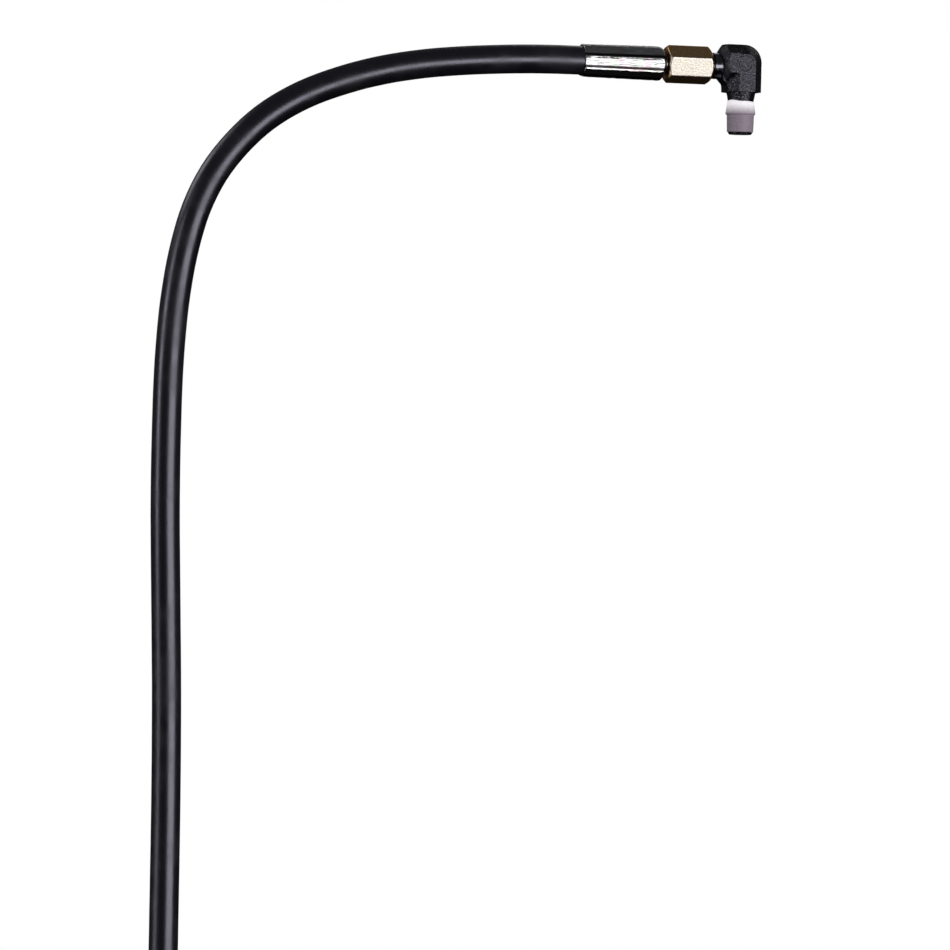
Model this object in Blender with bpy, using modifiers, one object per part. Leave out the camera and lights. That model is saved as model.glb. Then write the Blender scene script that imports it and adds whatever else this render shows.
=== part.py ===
"""Hydraulic hose assembly of a workshop press, in the shape it takes when it is fitted.

A quarter-inch two-wire-braid rubber hose joins the ram cylinder to the hand pump. A forged
elbow screws into the cylinder's port at the origin, with its thread along Z. The hose leaves
the elbow along -X, arches over and hangs down to the pump fitting. Metres, +Z up.
"""

import math

import bmesh
import bpy
from mathutils import Matrix, Vector

MM = 0.001
GAP = 0.3 * MM

# Hose: bore and outside diameter, and each layer's inner and outer radius.
HOSE_OD = 15.0 * MM
HOSE_BORE = 6.4 * MM
LAYERS = (
    ("hose_inner_tube", HOSE_BORE / 2, 4.6 * MM),
    ("hose_inner_braid", 4.75 * MM, 5.2 * MM),
    ("hose_friction_layer", 5.35 * MM, 5.65 * MM),
    ("hose_outer_braid", 5.8 * MM, 6.35 * MM),
    ("hose_cover", 6.5 * MM, HOSE_OD / 2),
)
HOSE_SIDES_RESOLUTION = 3
HOSE_POINT_SPACING = 28.0 * MM

# The route of the hose's centre line in the XZ plane, from one ferrule's mouth to the other's.
ROUTE_MM = (
    (-88.2, 24.75),
    (-110.2, 24.5),
    (-132.2, 23.5),
    (-154.2, 21.8),
    (-175.2, 19.3),
    (-197.1, 15.1),
    (-218.1, 9.0),
    (-239.0, 0.5),
    (-257.9, -11.1),
    (-272.8, -25.0),
    (-284.6, -40.4),
    (-293.5, -58.4),
    (-299.8, -80.5),
    (-304.0, -106.5),
    (-306.3, -137.5),
    (-306.9, -172.5),
    (-306.6, -212.5),
    (-305.2, -257.5),
    (-303.6, -307.5),
    (-302.7, -360.0),
    (-302.3, -420.0),
    (-302.1, -480.0),
    (-302.0, -540.0),
    (-302.0, -600.0),
    (-302.0, -650.0),
    (-302.0, -682.8),
)

# 37 degree flare swivel joint, 9/16-18 UNF. Stations run from the male shoulder to the hose.
THREAD_MAJOR = 14.29 * MM
FLARE_ANGLE = math.radians(37.0)
MALE_NECK_RADIUS = 6.85 * MM
THREAD_RELIEF_RADIUS = 6.2 * MM
NECK_END = 4.4 * MM
THREAD_END = 11.9 * MM
NOSE_END = 14.1 * MM
FLARE_TOP_RADIUS = 6.15 * MM

# A clock is the direction of a piece's first flat, from the fitting's own X.
NUT_START = 5.0 * MM
NUT_END = 29.6 * MM
NUT_ACROSS_FLATS = 17.46 * MM
NUT_CLOCK = math.radians(19.0)
NUT_FRONT_RADIUS = 7.55 * MM
NUT_FRONT_CHAMFER = 2.1 * MM
NUT_REAR_RADIUS = 8.3 * MM
NUT_REAR_CHAMFER = 1.4 * MM

STEM_START = 12.6 * MM
STEM_SEAT_RADIUS = 6.0 * MM
STEM_HEAD_RADIUS = 6.3 * MM
STEM_HEAD_END = 19.6 * MM
STEM_SHANK_RADIUS = 4.9 * MM
STEM_SHANK_START = 21.0 * MM
STEM_BORE_RADIUS = 2.0 * MM
COLLAR_RADIUS = 5.6 * MM
COLLAR_START = 29.9 * MM
COLLAR_END = 30.5 * MM
LOCK_NECK_RADIUS = 4.2 * MM
RIDGE_RADIUS = 5.2 * MM
RIDGE_START = 33.4 * MM
RIDGE_END = 35.6 * MM
BARB_FIRST = 38.0 * MM
BARB_PITCH = 4.0 * MM
BARB_COUNT = 8
BARB_CREST_RADIUS = 2.8 * MM
BARB_ROOT_RADIUS = 2.55 * MM
TAIL_RADIUS = 2.6 * MM
STEM_END = 71.0 * MM

LOCK_WIRE_STATION = 23.8 * MM
LOCK_WIRE_RING_RADIUS = 5.05 * MM
LOCK_WIRE_RADIUS = 0.6 * MM
LOCK_WIRE_OPENING = math.radians(24.0)
NUT_GROOVE_RADIUS = 5.95 * MM
STEM_GROOVE_RADIUS = 4.2 * MM
NUT_GROOVE_HALF = 0.9 * MM
STEM_GROOVE_HALF = 0.8 * MM

FERRULE_START = 30.8 * MM
FERRULE_END = 75.7 * MM
FERRULE_FLATS_FRONT = 17.1 * MM
FERRULE_FLATS_REAR = 16.05 * MM
FERRULE_CLOCK = math.radians(-5.0)
FERRULE_FRONT_RADIUS = 9.25 * MM
FERRULE_REAR_RADIUS = 8.75 * MM
FERRULE_NOSE_RADIUS = 6.8 * MM
FERRULE_TAIL_RADIUS = 8.2 * MM
FERRULE_FRONT_CHAMFER = 2.45 * MM
FERRULE_REAR_CHAMFER = 0.7 * MM
FERRULE_LIP_RADIUS = 4.5 * MM
FERRULE_LIP_END = 33.1 * MM
FERRULE_BORE_RADIUS = 6.65 * MM
FERRULE_MOUTH_STATION = 72.9 * MM
HOSE_CORE_STATION = 36.5 * MM
COVER_STATION = 73.3 * MM

# Forged elbow: a block of two short arms with broad chamfers.
ELBOW_ACROSS_FLATS = 19.9 * MM
BRANCH_HALF_WIDTH = 9.4 * MM
ELBOW_CHAMFER = 4.85 * MM
ELBOW_CORNER_RADIUS = 9.3 * MM
FORGING_CENTRE_Z = 26.2 * MM
RUN_AXIS_Z = 24.75 * MM
RUN_FACE_X = -12.5 * MM
BRANCH_FACE_Z = 11.35 * MM
WEB_HALF_WIDTH = 5.0 * MM
BRANCH_NECK_RADIUS = 7.6 * MM
TAPE_TOP_Z = 7.0 * MM
PORT_THREAD_END_Z = -10.5 * MM
ELBOW_BORE_RADIUS = 3.4 * MM
RUN_BORE_RADIUS = 3.3 * MM
DRILL_TIP_RADIUS = 0.6 * MM
DRILL_TIP = 2.0 * MM

# Pump adapter: a flare end, a hexagon and a parallel G1/4 stud sealed by a bonded washer.
ADAPTER_ACROSS_FLATS = 19.05 * MM
ADAPTER_HEX_HEIGHT = 9.0 * MM
ADAPTER_HEX_CHAMFER = 1.1 * MM
ADAPTER_CLOCK = math.radians(37.0)
STUD_RADIUS = 6.58 * MM
STUD_RELIEF_RADIUS = 5.9 * MM
STUD_TIP_RADIUS = 5.6 * MM
STUD_LENGTH = 12.5 * MM
STUD_BORE_RADIUS = 3.0 * MM
WASHER_THICKNESS = 2.0 * MM
WASHER_OUTER_RADIUS = 10.28 * MM
WASHER_INNER_RADIUS = 8.7 * MM
WASHER_EDGE = 0.15 * MM
LIP_INNER_RADIUS = 6.85 * MM
LIP_ROOT_RADIUS = 7.6 * MM
LIP_HALF_HEIGHT = 0.3 * MM

# Steps round a turned piece, chosen so that a small piece isn't cut finer than a large one.
ROUND_STEPS = 32
STEM_STEPS = 24
DRILL_STEPS = 24
FERRULE_STEPS = 40
LOCK_WIRE_POINTS = 20

COLOURS = {
    "rubber_black": ((0.012, 0.012, 0.015, 1), 0.42, 0.0),
    "brass_plated_wire": ((0.62, 0.50, 0.28, 1), 0.35, 1.0),
    "forged_black": ((0.016, 0.016, 0.019, 1), 0.5, 0.6),
    "yellow_zinc": ((0.78, 0.66, 0.42, 1), 0.32, 1.0),
    "bright_zinc": ((0.74, 0.74, 0.76, 1), 0.2, 1.0),
    "spring_steel": ((0.45, 0.45, 0.46, 1), 0.3, 1.0),
    "thread_tape": ((0.88, 0.86, 0.90, 1), 0.55, 0.0),
}


def clear_scene():
    """Starts from an empty file."""
    for obj in list(bpy.data.objects):
        bpy.data.objects.remove(obj, do_unlink=True)


def new_collection(name):
    collection = bpy.data.collections.new(name)
    bpy.context.scene.collection.children.link(collection)
    return collection


def new_material(name):
    """A Principled material with the finish's colour, roughness and metallic value."""
    colour, roughness, metallic = COLOURS[name]
    material = bpy.data.materials.new(name)
    material.use_nodes = True
    material.diffuse_color = colour
    shader = material.node_tree.nodes["Principled BSDF"]
    shader.inputs["Base Color"].default_value = colour
    shader.inputs["Roughness"].default_value = roughness
    shader.inputs["Metallic"].default_value = metallic
    return material


def add_object(name, data, finish, parent=None):
    """Links a named piece, with a material of its own, under its parent empty."""
    obj = bpy.data.objects.new(name, data)
    PARTS.objects.link(obj)
    obj.parent = parent
    material = new_material(finish)
    material.name = name + "_finish"
    data.materials.append(material)
    return obj


def add_cutter(name, data, parent=None):
    """Links a hidden helper solid that only shapes another piece."""
    obj = bpy.data.objects.new(name, data)
    CUTTERS.objects.link(obj)
    obj.parent = parent
    obj.hide_render = True
    obj.display_type = "WIRE"
    return obj


def add_empty(name, location, rotation):
    empty = bpy.data.objects.new(name, None)
    PARTS.objects.link(empty)
    empty.location = location
    empty.rotation_euler = rotation
    return empty


def cut(obj, cutter, operation):
    modifier = obj.modifiers.new(cutter.name, "BOOLEAN")
    modifier.solver = "EXACT"
    modifier.operation = operation
    modifier.object = cutter


def profile_mesh(name, points):
    """A closed ring of (radius, height) points as edges in the XZ plane."""
    shape = bmesh.new()
    verts = [shape.verts.new((radius, 0.0, height)) for radius, height in points]
    for first, second in zip(verts, verts[1:] + verts[:1]):
        shape.edges.new((first, second))
    mesh = bpy.data.meshes.new(name)
    shape.to_mesh(mesh)
    shape.free()
    return mesh


def spin(obj, steps=ROUND_STEPS):
    """Turns the profile about the object's Z axis."""
    screw = obj.modifiers.new("turned", "SCREW")
    screw.axis = "Z"
    screw.angle = math.tau
    screw.steps = steps
    screw.render_steps = steps
    screw.use_merge_vertices = True
    screw.merge_threshold = 0.00001
    screw.use_smooth_shade = False


def ring_profile(outside, inside):
    """Joins an outer outline and an inner outline, both listed from low to high."""
    return list(reversed(outside)) + list(inside)


def turned(name, outside, inside, finish, parent, steps=ROUND_STEPS):
    """A turned piece with a hole through it."""
    mesh = profile_mesh(name, ring_profile(outside, inside))
    obj = add_object(name, mesh, finish, parent)
    spin(obj, steps)
    return obj


def turned_cutter(name, outside, parent=None, steps=ROUND_STEPS):
    """A solid turned cutter: its outline starts and ends on the axis."""
    low = outside[0][1]
    high = outside[-1][1]
    shape = bmesh.new()
    points = [(0.0, high)] + list(reversed(outside)) + [(0.0, low)]
    verts = [shape.verts.new((radius, 0.0, height)) for radius, height in points]
    for first, second in zip(verts, verts[1:]):
        shape.edges.new((first, second))
    mesh = bpy.data.meshes.new(name)
    shape.to_mesh(mesh)
    shape.free()
    obj = add_cutter(name, mesh, parent)
    spin(obj, steps)
    return obj


def prism_mesh(name, sides, flats_low, flats_high, low, high, clock=0.0):
    """A prism or a frustum with flat sides, given by its distances across flats. The first
    flat faces the clock's direction, counted from X."""
    to_corner = 0.5 / math.cos(math.pi / sides)
    shape = bmesh.new()
    bmesh.ops.create_cone(
        shape,
        cap_ends=True,
        cap_tris=False,
        segments=sides,
        radius1=flats_low * to_corner,
        radius2=flats_high * to_corner,
        depth=high - low,
    )
    first_corner = math.radians(90.0)
    turn = Matrix.Rotation(clock + math.pi / sides - first_corner, 4, "Z")
    bmesh.ops.transform(shape, matrix=turn, verts=shape.verts)
    bmesh.ops.translate(shape, vec=(0.0, 0.0, (low + high) / 2), verts=shape.verts)
    mesh = bpy.data.meshes.new(name)
    shape.to_mesh(mesh)
    shape.free()
    return mesh


# The hose


def smooth_route(points, steps=12):
    """A smooth curve through the route's points: each stretch is a cubic that takes its
    slopes from the stretches before and after it, with the lengths between points weighed in."""
    before = points[0] * 2 - points[1]
    after = points[-1] * 2 - points[-2]
    line = [before] + list(points) + [after]
    curve = []
    for p0, p1, p2, p3 in zip(line, line[1:], line[2:], line[3:]):
        a = math.sqrt((p1 - p0).length)
        b = math.sqrt((p2 - p1).length)
        c = math.sqrt((p3 - p2).length)
        start_slope = ((p1 - p0) / a - (p2 - p0) / (a + b) + (p2 - p1) / b) * b
        end_slope = ((p2 - p1) / b - (p3 - p1) / (b + c) + (p3 - p2) / c) * b
        for step in range(steps):
            t = step / steps
            curve.append(
                p1 * (2 * t**3 - 3 * t**2 + 1)
                + start_slope * (t**3 - 2 * t**2 + t)
                + p2 * (3 * t**2 - 2 * t**3)
                + end_slope * (t**3 - t**2)
            )
    curve.append(points[-1].copy())
    return curve


def evenly_spaced(curve, spacing):
    """The points that divide a line of short steps into equal stretches."""
    lengths = [(b - a).length for a, b in zip(curve, curve[1:])]
    total = sum(lengths)
    count = round(total / spacing)
    points = [curve[0]]
    walked = 0.0
    for a, b, length in zip(curve, curve[1:], lengths):
        while len(points) < count and walked + length >= total * len(points) / count:
            share = (total * len(points) / count - walked) / length
            points.append(a.lerp(b, share))
        walked += length
    points.append(curve[-1])
    return points


def hose_line(station):
    """The centre line of one hose layer, which begins and ends inside the ferrules."""
    route = [Vector((x, 0.0, z)) * MM for x, z in ROUTE_MM]
    line = evenly_spaced(smooth_route(route), HOSE_POINT_SPACING)
    first = Vector((RUN_FACE_X - station, 0.0, RUN_AXIS_Z))
    last = Vector((PUMP_SHOULDER.x, 0.0, PUMP_SHOULDER.z + station))
    return [first] + line + [last]


def hose_layer(name, inner_radius, outer_radius, station):
    """An open tube along the route, with its wall thickened inward."""
    curve = bpy.data.curves.new(name + "_line", "CURVE")
    curve.dimensions = "3D"
    curve.bevel_depth = outer_radius
    curve.bevel_resolution = HOSE_SIDES_RESOLUTION
    curve.use_fill_caps = False
    curve.twist_mode = "MINIMUM"
    curve.resolution_u = 1
    points = hose_line(station)
    spline = curve.splines.new("POLY")
    spline.points.add(len(points) - 1)
    for point, place in zip(spline.points, points):
        point.co = (*place, 1.0)
    guide = add_cutter(name + "_guide", curve)
    bpy.context.view_layer.update()
    evaluated = guide.evaluated_get(bpy.context.evaluated_depsgraph_get())
    mesh = bpy.data.meshes.new_from_object(evaluated)
    bpy.data.objects.remove(guide, do_unlink=True)
    mesh.name = name
    mesh.materials.clear()
    finish = "brass_plated_wire" if "braid" in name else "rubber_black"
    obj = add_object(name, mesh, finish)
    wall = obj.modifiers.new("wall", "SOLIDIFY")
    wall.thickness = outer_radius - inner_radius
    wall.offset = -1.0
    wall.use_even_offset = True
    wall.use_rim = True
    return obj


def hose():
    """The five layers. The cover stops just inside the ferrules and the rest run on."""
    for name, inner_radius, outer_radius in LAYERS:
        station = COVER_STATION if name == "hose_cover" else HOSE_CORE_STATION
        hose_layer(name, inner_radius, outer_radius, station)


# The swivel fitting on each end of the hose


def male_flare_outline():
    """The male end from its shoulder to its nose, as (radius, station) points."""
    nose_radius = FLARE_TOP_RADIUS - (NOSE_END - THREAD_END) * math.tan(FLARE_ANGLE)
    thread = THREAD_MAJOR / 2
    return [
        (MALE_NECK_RADIUS, 0.0),
        (MALE_NECK_RADIUS, NECK_END - 0.5 * MM),
        (THREAD_RELIEF_RADIUS, NECK_END),
        (THREAD_RELIEF_RADIUS, NECK_END + 0.5 * MM),
        (thread, NECK_END + 1.4 * MM),
        (thread, THREAD_END - 1.0 * MM),
        (FLARE_TOP_RADIUS, THREAD_END),
        (nose_radius, NOSE_END),
    ]


def swivel_nut(prefix, parent):
    """A long hexagon nut. Inside it are the thread, the seat and the lock wire's groove."""
    past_corner = NUT_ACROSS_FLATS / math.sqrt(3) + 0.1 * MM
    thread = THREAD_MAJOR / 2 + GAP
    head = STEM_HEAD_RADIUS + GAP
    shank = STEM_SHANK_RADIUS + GAP
    groove_start = LOCK_WIRE_STATION - NUT_GROOVE_HALF
    groove_end = LOCK_WIRE_STATION + NUT_GROOVE_HALF
    outside = [
        (NUT_FRONT_RADIUS, NUT_START),
        (past_corner, NUT_START + NUT_FRONT_CHAMFER),
        (past_corner, NUT_END - NUT_REAR_CHAMFER),
        (NUT_REAR_RADIUS, NUT_END),
    ]
    inside = [
        (thread, NUT_START),
        (thread, STEM_START - GAP),
        (head, STEM_START),
        (head, STEM_HEAD_END + GAP),
        (shank, STEM_SHANK_START + GAP),
        (shank, groove_start),
        (NUT_GROOVE_RADIUS, groove_start),
        (NUT_GROOVE_RADIUS, groove_end),
        (shank, groove_end),
        (shank, NUT_END),
    ]
    nut = turned(prefix + "_nut", outside, inside, "yellow_zinc", parent)
    hexagon = prism_mesh(
        prefix + "_nut_hexagon",
        6,
        NUT_ACROSS_FLATS,
        NUT_ACROSS_FLATS,
        NUT_START - MM,
        NUT_END + MM,
        NUT_CLOCK,
    )
    cut(nut, add_cutter(prefix + "_nut_hexagon", hexagon, parent), "INTERSECT")
    return nut


def hose_stem(prefix, parent):
    """The nipple: a flared seat, a shank, a locking neck and a barbed tail in the hose."""
    cone_depth = (STEM_SEAT_RADIUS - STEM_BORE_RADIUS) / math.tan(FLARE_ANGLE)
    groove_start = LOCK_WIRE_STATION - STEM_GROOVE_HALF
    groove_end = LOCK_WIRE_STATION + STEM_GROOVE_HALF
    outside = [
        (STEM_HEAD_RADIUS, STEM_START),
        (STEM_HEAD_RADIUS, STEM_HEAD_END),
        (STEM_SHANK_RADIUS, STEM_SHANK_START),
        (STEM_SHANK_RADIUS, groove_start),
        (STEM_GROOVE_RADIUS, groove_start),
        (STEM_GROOVE_RADIUS, groove_end),
        (STEM_SHANK_RADIUS, groove_end),
        (STEM_SHANK_RADIUS, COLLAR_START),
        (COLLAR_RADIUS, COLLAR_START + 0.1 * MM),
        (COLLAR_RADIUS, COLLAR_END),
        (LOCK_NECK_RADIUS, COLLAR_END),
        (LOCK_NECK_RADIUS, RIDGE_START),
        (RIDGE_RADIUS, RIDGE_START),
        (RIDGE_RADIUS, RIDGE_END),
        (TAIL_RADIUS, RIDGE_END + 0.5 * MM),
    ]
    for barb in range(BARB_COUNT):
        start = BARB_FIRST + barb * BARB_PITCH
        outside.append((BARB_CREST_RADIUS, start))
        outside.append((BARB_ROOT_RADIUS, start + 0.8 * BARB_PITCH))
    outside.append((TAIL_RADIUS, STEM_END))
    inside = [
        (STEM_SEAT_RADIUS, STEM_START),
        (STEM_BORE_RADIUS, STEM_START + cone_depth),
        (STEM_BORE_RADIUS, STEM_END),
    ]
    return turned(prefix + "_stem", outside, inside, "bright_zinc", parent, STEM_STEPS)


def lock_wire(prefix, parent):
    """The open ring of wire that holds the nut on the stem and lets it turn."""
    curve = bpy.data.curves.new(prefix + "_lock_wire", "CURVE")
    curve.dimensions = "3D"
    curve.bevel_depth = LOCK_WIRE_RADIUS
    curve.bevel_resolution = 2
    curve.use_fill_caps = True
    curve.resolution_u = 1
    spline = curve.splines.new("POLY")
    spline.points.add(LOCK_WIRE_POINTS - 1)
    step = (math.tau - LOCK_WIRE_OPENING) / (LOCK_WIRE_POINTS - 1)
    for index, point in enumerate(spline.points):
        angle = LOCK_WIRE_OPENING / 2 + step * index
        x = LOCK_WIRE_RING_RADIUS * math.cos(angle)
        y = LOCK_WIRE_RING_RADIUS * math.sin(angle)
        point.co = (x, y, LOCK_WIRE_STATION, 1.0)
    return add_object(prefix + "_lock_wire", curve, "spring_steel", parent)


def ferrule(prefix, parent):
    """The crimped sleeve: eight flats from the crimping dies, and a lip that locks it."""
    mouth = HOSE_OD / 2 + 0.2 * MM
    outside = [
        (FERRULE_NOSE_RADIUS, FERRULE_START),
        (FERRULE_FRONT_RADIUS, FERRULE_START + FERRULE_FRONT_CHAMFER),
        (FERRULE_REAR_RADIUS, FERRULE_END - FERRULE_REAR_CHAMFER),
        (FERRULE_TAIL_RADIUS, FERRULE_END),
    ]
    inside = [
        (FERRULE_LIP_RADIUS, FERRULE_START),
        (FERRULE_LIP_RADIUS, FERRULE_LIP_END),
        (FERRULE_BORE_RADIUS, FERRULE_LIP_END),
        (FERRULE_BORE_RADIUS, FERRULE_MOUTH_STATION),
        (mouth, FERRULE_MOUTH_STATION),
        (mouth, FERRULE_END),
    ]
    name = prefix + "_ferrule"
    sleeve = turned(name, outside, inside, "bright_zinc", parent, FERRULE_STEPS)
    dies = prism_mesh(
        prefix + "_ferrule_dies",
        8,
        FERRULE_FLATS_FRONT,
        FERRULE_FLATS_REAR,
        FERRULE_START - MM,
        FERRULE_END + MM,
        FERRULE_CLOCK,
    )
    cut(sleeve, add_cutter(prefix + "_ferrule_dies", dies, parent), "INTERSECT")
    return sleeve


def end_fitting(prefix, parent):
    """One crimped swivel end: nut, lock wire, stem and ferrule on one axis."""
    swivel_nut(prefix, parent)
    lock_wire(prefix, parent)
    hose_stem(prefix, parent)
    ferrule(prefix, parent)


# The elbow on the cylinder


def elbow_block_outline():
    """The forging seen from the front, as (x, z) points: a short L with a round shoulder."""
    top = FORGING_CENTRE_Z + ELBOW_ACROSS_FLATS / 2
    arm_bottom = FORGING_CENTRE_Z - ELBOW_ACROSS_FLATS / 2
    centre_x = BRANCH_HALF_WIDTH - ELBOW_CORNER_RADIUS
    centre_z = top - ELBOW_CORNER_RADIUS
    outline = [(RUN_FACE_X, arm_bottom), (RUN_FACE_X, top)]
    arc_steps = 6
    for step in range(arc_steps + 1):
        angle = math.radians(90.0 * (1 - step / arc_steps))
        x = centre_x + ELBOW_CORNER_RADIUS * math.cos(angle)
        z = centre_z + ELBOW_CORNER_RADIUS * math.sin(angle)
        outline.append((x, z))
    outline += [
        (BRANCH_HALF_WIDTH, BRANCH_FACE_Z),
        (-BRANCH_HALF_WIDTH, BRANCH_FACE_Z),
        (-BRANCH_HALF_WIDTH, arm_bottom),
    ]
    return outline


def slab(name, outline, half_width):
    """An outline in the XZ plane given a thickness along Y."""
    shape = bmesh.new()
    verts = [shape.verts.new((x, -half_width, z)) for x, z in outline]
    face = shape.faces.new(verts)
    wall = bmesh.ops.extrude_face_region(shape, geom=[face])
    moved = [item for item in wall["geom"] if isinstance(item, bmesh.types.BMVert)]
    bmesh.ops.translate(shape, vec=(0.0, 2 * half_width, 0.0), verts=moved)
    bmesh.ops.recalc_face_normals(shape, faces=shape.faces)
    mesh = bpy.data.meshes.new(name)
    shape.to_mesh(mesh)
    shape.free()
    return mesh


def chamfered_block():
    """The forging with its long edges cut back, which leaves eight-sided arms."""
    half = ELBOW_ACROSS_FLATS / 2
    mesh = slab("elbow_body", elbow_block_outline(), half)
    shape = bmesh.new()
    shape.from_mesh(mesh)
    ends = (RUN_FACE_X, BRANCH_FACE_Z)
    edges = []
    for edge in shape.edges:
        a, b = (vert.co for vert in edge.verts)
        along_face = abs(a.y - b.y) < MM
        on_run_face = abs(a.x - ends[0]) < GAP and abs(b.x - ends[0]) < GAP
        on_branch_face = abs(a.z - ends[1]) < GAP and abs(b.z - ends[1]) < GAP
        if along_face and not on_run_face and not on_branch_face:
            edges.append(edge)
    bmesh.ops.bevel(
        shape,
        geom=edges,
        offset=ELBOW_CHAMFER,
        offset_type="OFFSET",
        segments=1,
        profile=0.5,
        affect="EDGES",
        material=-1,
        clamp_overlap=False,
    )
    shape.to_mesh(mesh)
    shape.free()
    return mesh


def elbow_web_outline():
    """The gusset in the inner corner, from the run's face to the branch's."""
    inner_x = -BRANCH_HALF_WIDTH + 2 * MM
    face_x = RUN_FACE_X + 0.4 * MM
    return [
        (face_x, 20.0 * MM),
        (inner_x, 20.0 * MM),
        (inner_x, BRANCH_FACE_Z),
        (-9.0 * MM, BRANCH_FACE_Z),
        (-9.5 * MM, 15.2 * MM),
        (face_x, 18.05 * MM),
    ]


def elbow():
    """The forging, its two male ends and the two drillings that meet at its corner."""
    body = add_object("elbow_body", chamfered_block(), "forged_black")

    # The run's face is turned back to a cone, which also rounds the arm's corners.
    face_cone = [
        (6.9 * MM, -0.1 * MM),
        (11.4 * MM, 3.37 * MM),
        (30.0 * MM, 3.4 * MM),
        (30.0 * MM, 40.0 * MM),
    ]
    run_cone = turned_cutter("elbow_run_cone", face_cone)
    run_cone.location = (RUN_FACE_X, 0.0, FORGING_CENTRE_Z)
    run_cone.rotation_euler = (0.0, math.radians(90.0), 0.0)
    cut(body, run_cone, "INTERSECT")

    web = slab("elbow_web", elbow_web_outline(), WEB_HALF_WIDTH)
    cut(body, add_cutter("elbow_web", web), "UNION")

    sunk = (MALE_NECK_RADIUS, -5 * MM)
    run_end = turned_cutter("elbow_run_end", [sunk] + male_flare_outline())
    run_end.location = (RUN_FACE_X, 0.0, RUN_AXIS_Z)
    run_end.rotation_euler = (0.0, math.radians(-90.0), 0.0)
    cut(body, run_end, "UNION")

    branch_outline = [
        (5.3 * MM, PORT_THREAD_END_Z),
        (5.95 * MM, PORT_THREAD_END_Z + 1.0 * MM),
        (6.2 * MM, TAPE_TOP_Z - 0.1 * MM),
        (6.8 * MM, TAPE_TOP_Z + 0.3 * MM),
        (BRANCH_NECK_RADIUS, BRANCH_FACE_Z),
        (BRANCH_NECK_RADIUS, BRANCH_FACE_Z + 5 * MM),
    ]
    cut(body, turned_cutter("elbow_branch_end", branch_outline), "UNION")

    branch_drill_end = RUN_AXIS_Z + 1.0 * MM
    branch_drill = [
        (ELBOW_BORE_RADIUS, PORT_THREAD_END_Z - MM),
        (ELBOW_BORE_RADIUS, branch_drill_end),
        (DRILL_TIP_RADIUS, branch_drill_end + DRILL_TIP),
    ]
    cutter = turned_cutter("elbow_branch_drill", branch_drill, None, DRILL_STEPS)
    cut(body, cutter, "DIFFERENCE")
    run_drill_end = RUN_FACE_X - 1.6 * MM
    run_drill = [
        (DRILL_TIP_RADIUS, run_drill_end - DRILL_TIP),
        (RUN_BORE_RADIUS, run_drill_end),
        (RUN_BORE_RADIUS, NOSE_END + MM),
    ]
    drill = turned_cutter("elbow_run_drill", run_drill, None, DRILL_STEPS)
    drill.location = (RUN_FACE_X, 0.0, RUN_AXIS_Z)
    drill.rotation_euler = (0.0, math.radians(-90.0), 0.0)
    cut(body, drill, "DIFFERENCE")
    return body


def thread_tape():
    """The wound tape on the port thread, bunched where it meets the port's mouth."""
    low = PORT_THREAD_END_Z + 1.2 * MM
    high = TAPE_TOP_Z - 0.1 * MM
    outside = [
        (6.3 * MM, low),
        (6.75 * MM, low + 0.7 * MM),
        (6.95 * MM, -0.4 * MM),
        (7.85 * MM, 0.1 * MM),
        (7.65 * MM, 1.6 * MM),
        (7.2 * MM, 4.2 * MM),
        (6.95 * MM, high - 0.3 * MM),
        (6.75 * MM, high),
    ]
    inside = [(6.2 * MM, low), (6.42 * MM, high)]
    return turned("elbow_thread_tape", outside, inside, "thread_tape", None)


# The adapter in the pump


def pump_adapter(parent):
    """A hexagon between the flare end, which points to the hose, and the pump stud."""
    hex_low = -ADAPTER_HEX_HEIGHT
    past_corner = ADAPTER_ACROSS_FLATS / math.sqrt(3) + 0.1 * MM
    flange = ADAPTER_ACROSS_FLATS / 2 - 0.1 * MM
    stud_low = hex_low - STUD_LENGTH
    body = turned(
        "pump_adapter",
        [
            (STUD_TIP_RADIUS, stud_low),
            (STUD_RADIUS, stud_low + 1.0 * MM),
            (STUD_RADIUS, hex_low - 2.6 * MM),
            (STUD_RELIEF_RADIUS, hex_low - 2.0 * MM),
            (STUD_RELIEF_RADIUS, hex_low),
            (flange, hex_low),
            (past_corner, hex_low + ADAPTER_HEX_CHAMFER),
            (past_corner, -ADAPTER_HEX_CHAMFER),
            (flange, 0.0),
        ]
        + male_flare_outline(),
        [
            (STUD_BORE_RADIUS, stud_low),
            (STUD_BORE_RADIUS, 4.0 * MM),
            (RUN_BORE_RADIUS, 5.0 * MM),
            (RUN_BORE_RADIUS, NOSE_END),
        ],
        "yellow_zinc",
        parent,
    )
    hexagon = prism_mesh(
        "pump_adapter_hexagon",
        6,
        ADAPTER_ACROSS_FLATS,
        ADAPTER_ACROSS_FLATS,
        stud_low - MM,
        NOSE_END + MM,
        ADAPTER_CLOCK,
    )
    cut(body, add_cutter("pump_adapter_hexagon", hexagon, parent), "INTERSECT")
    return body


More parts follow.
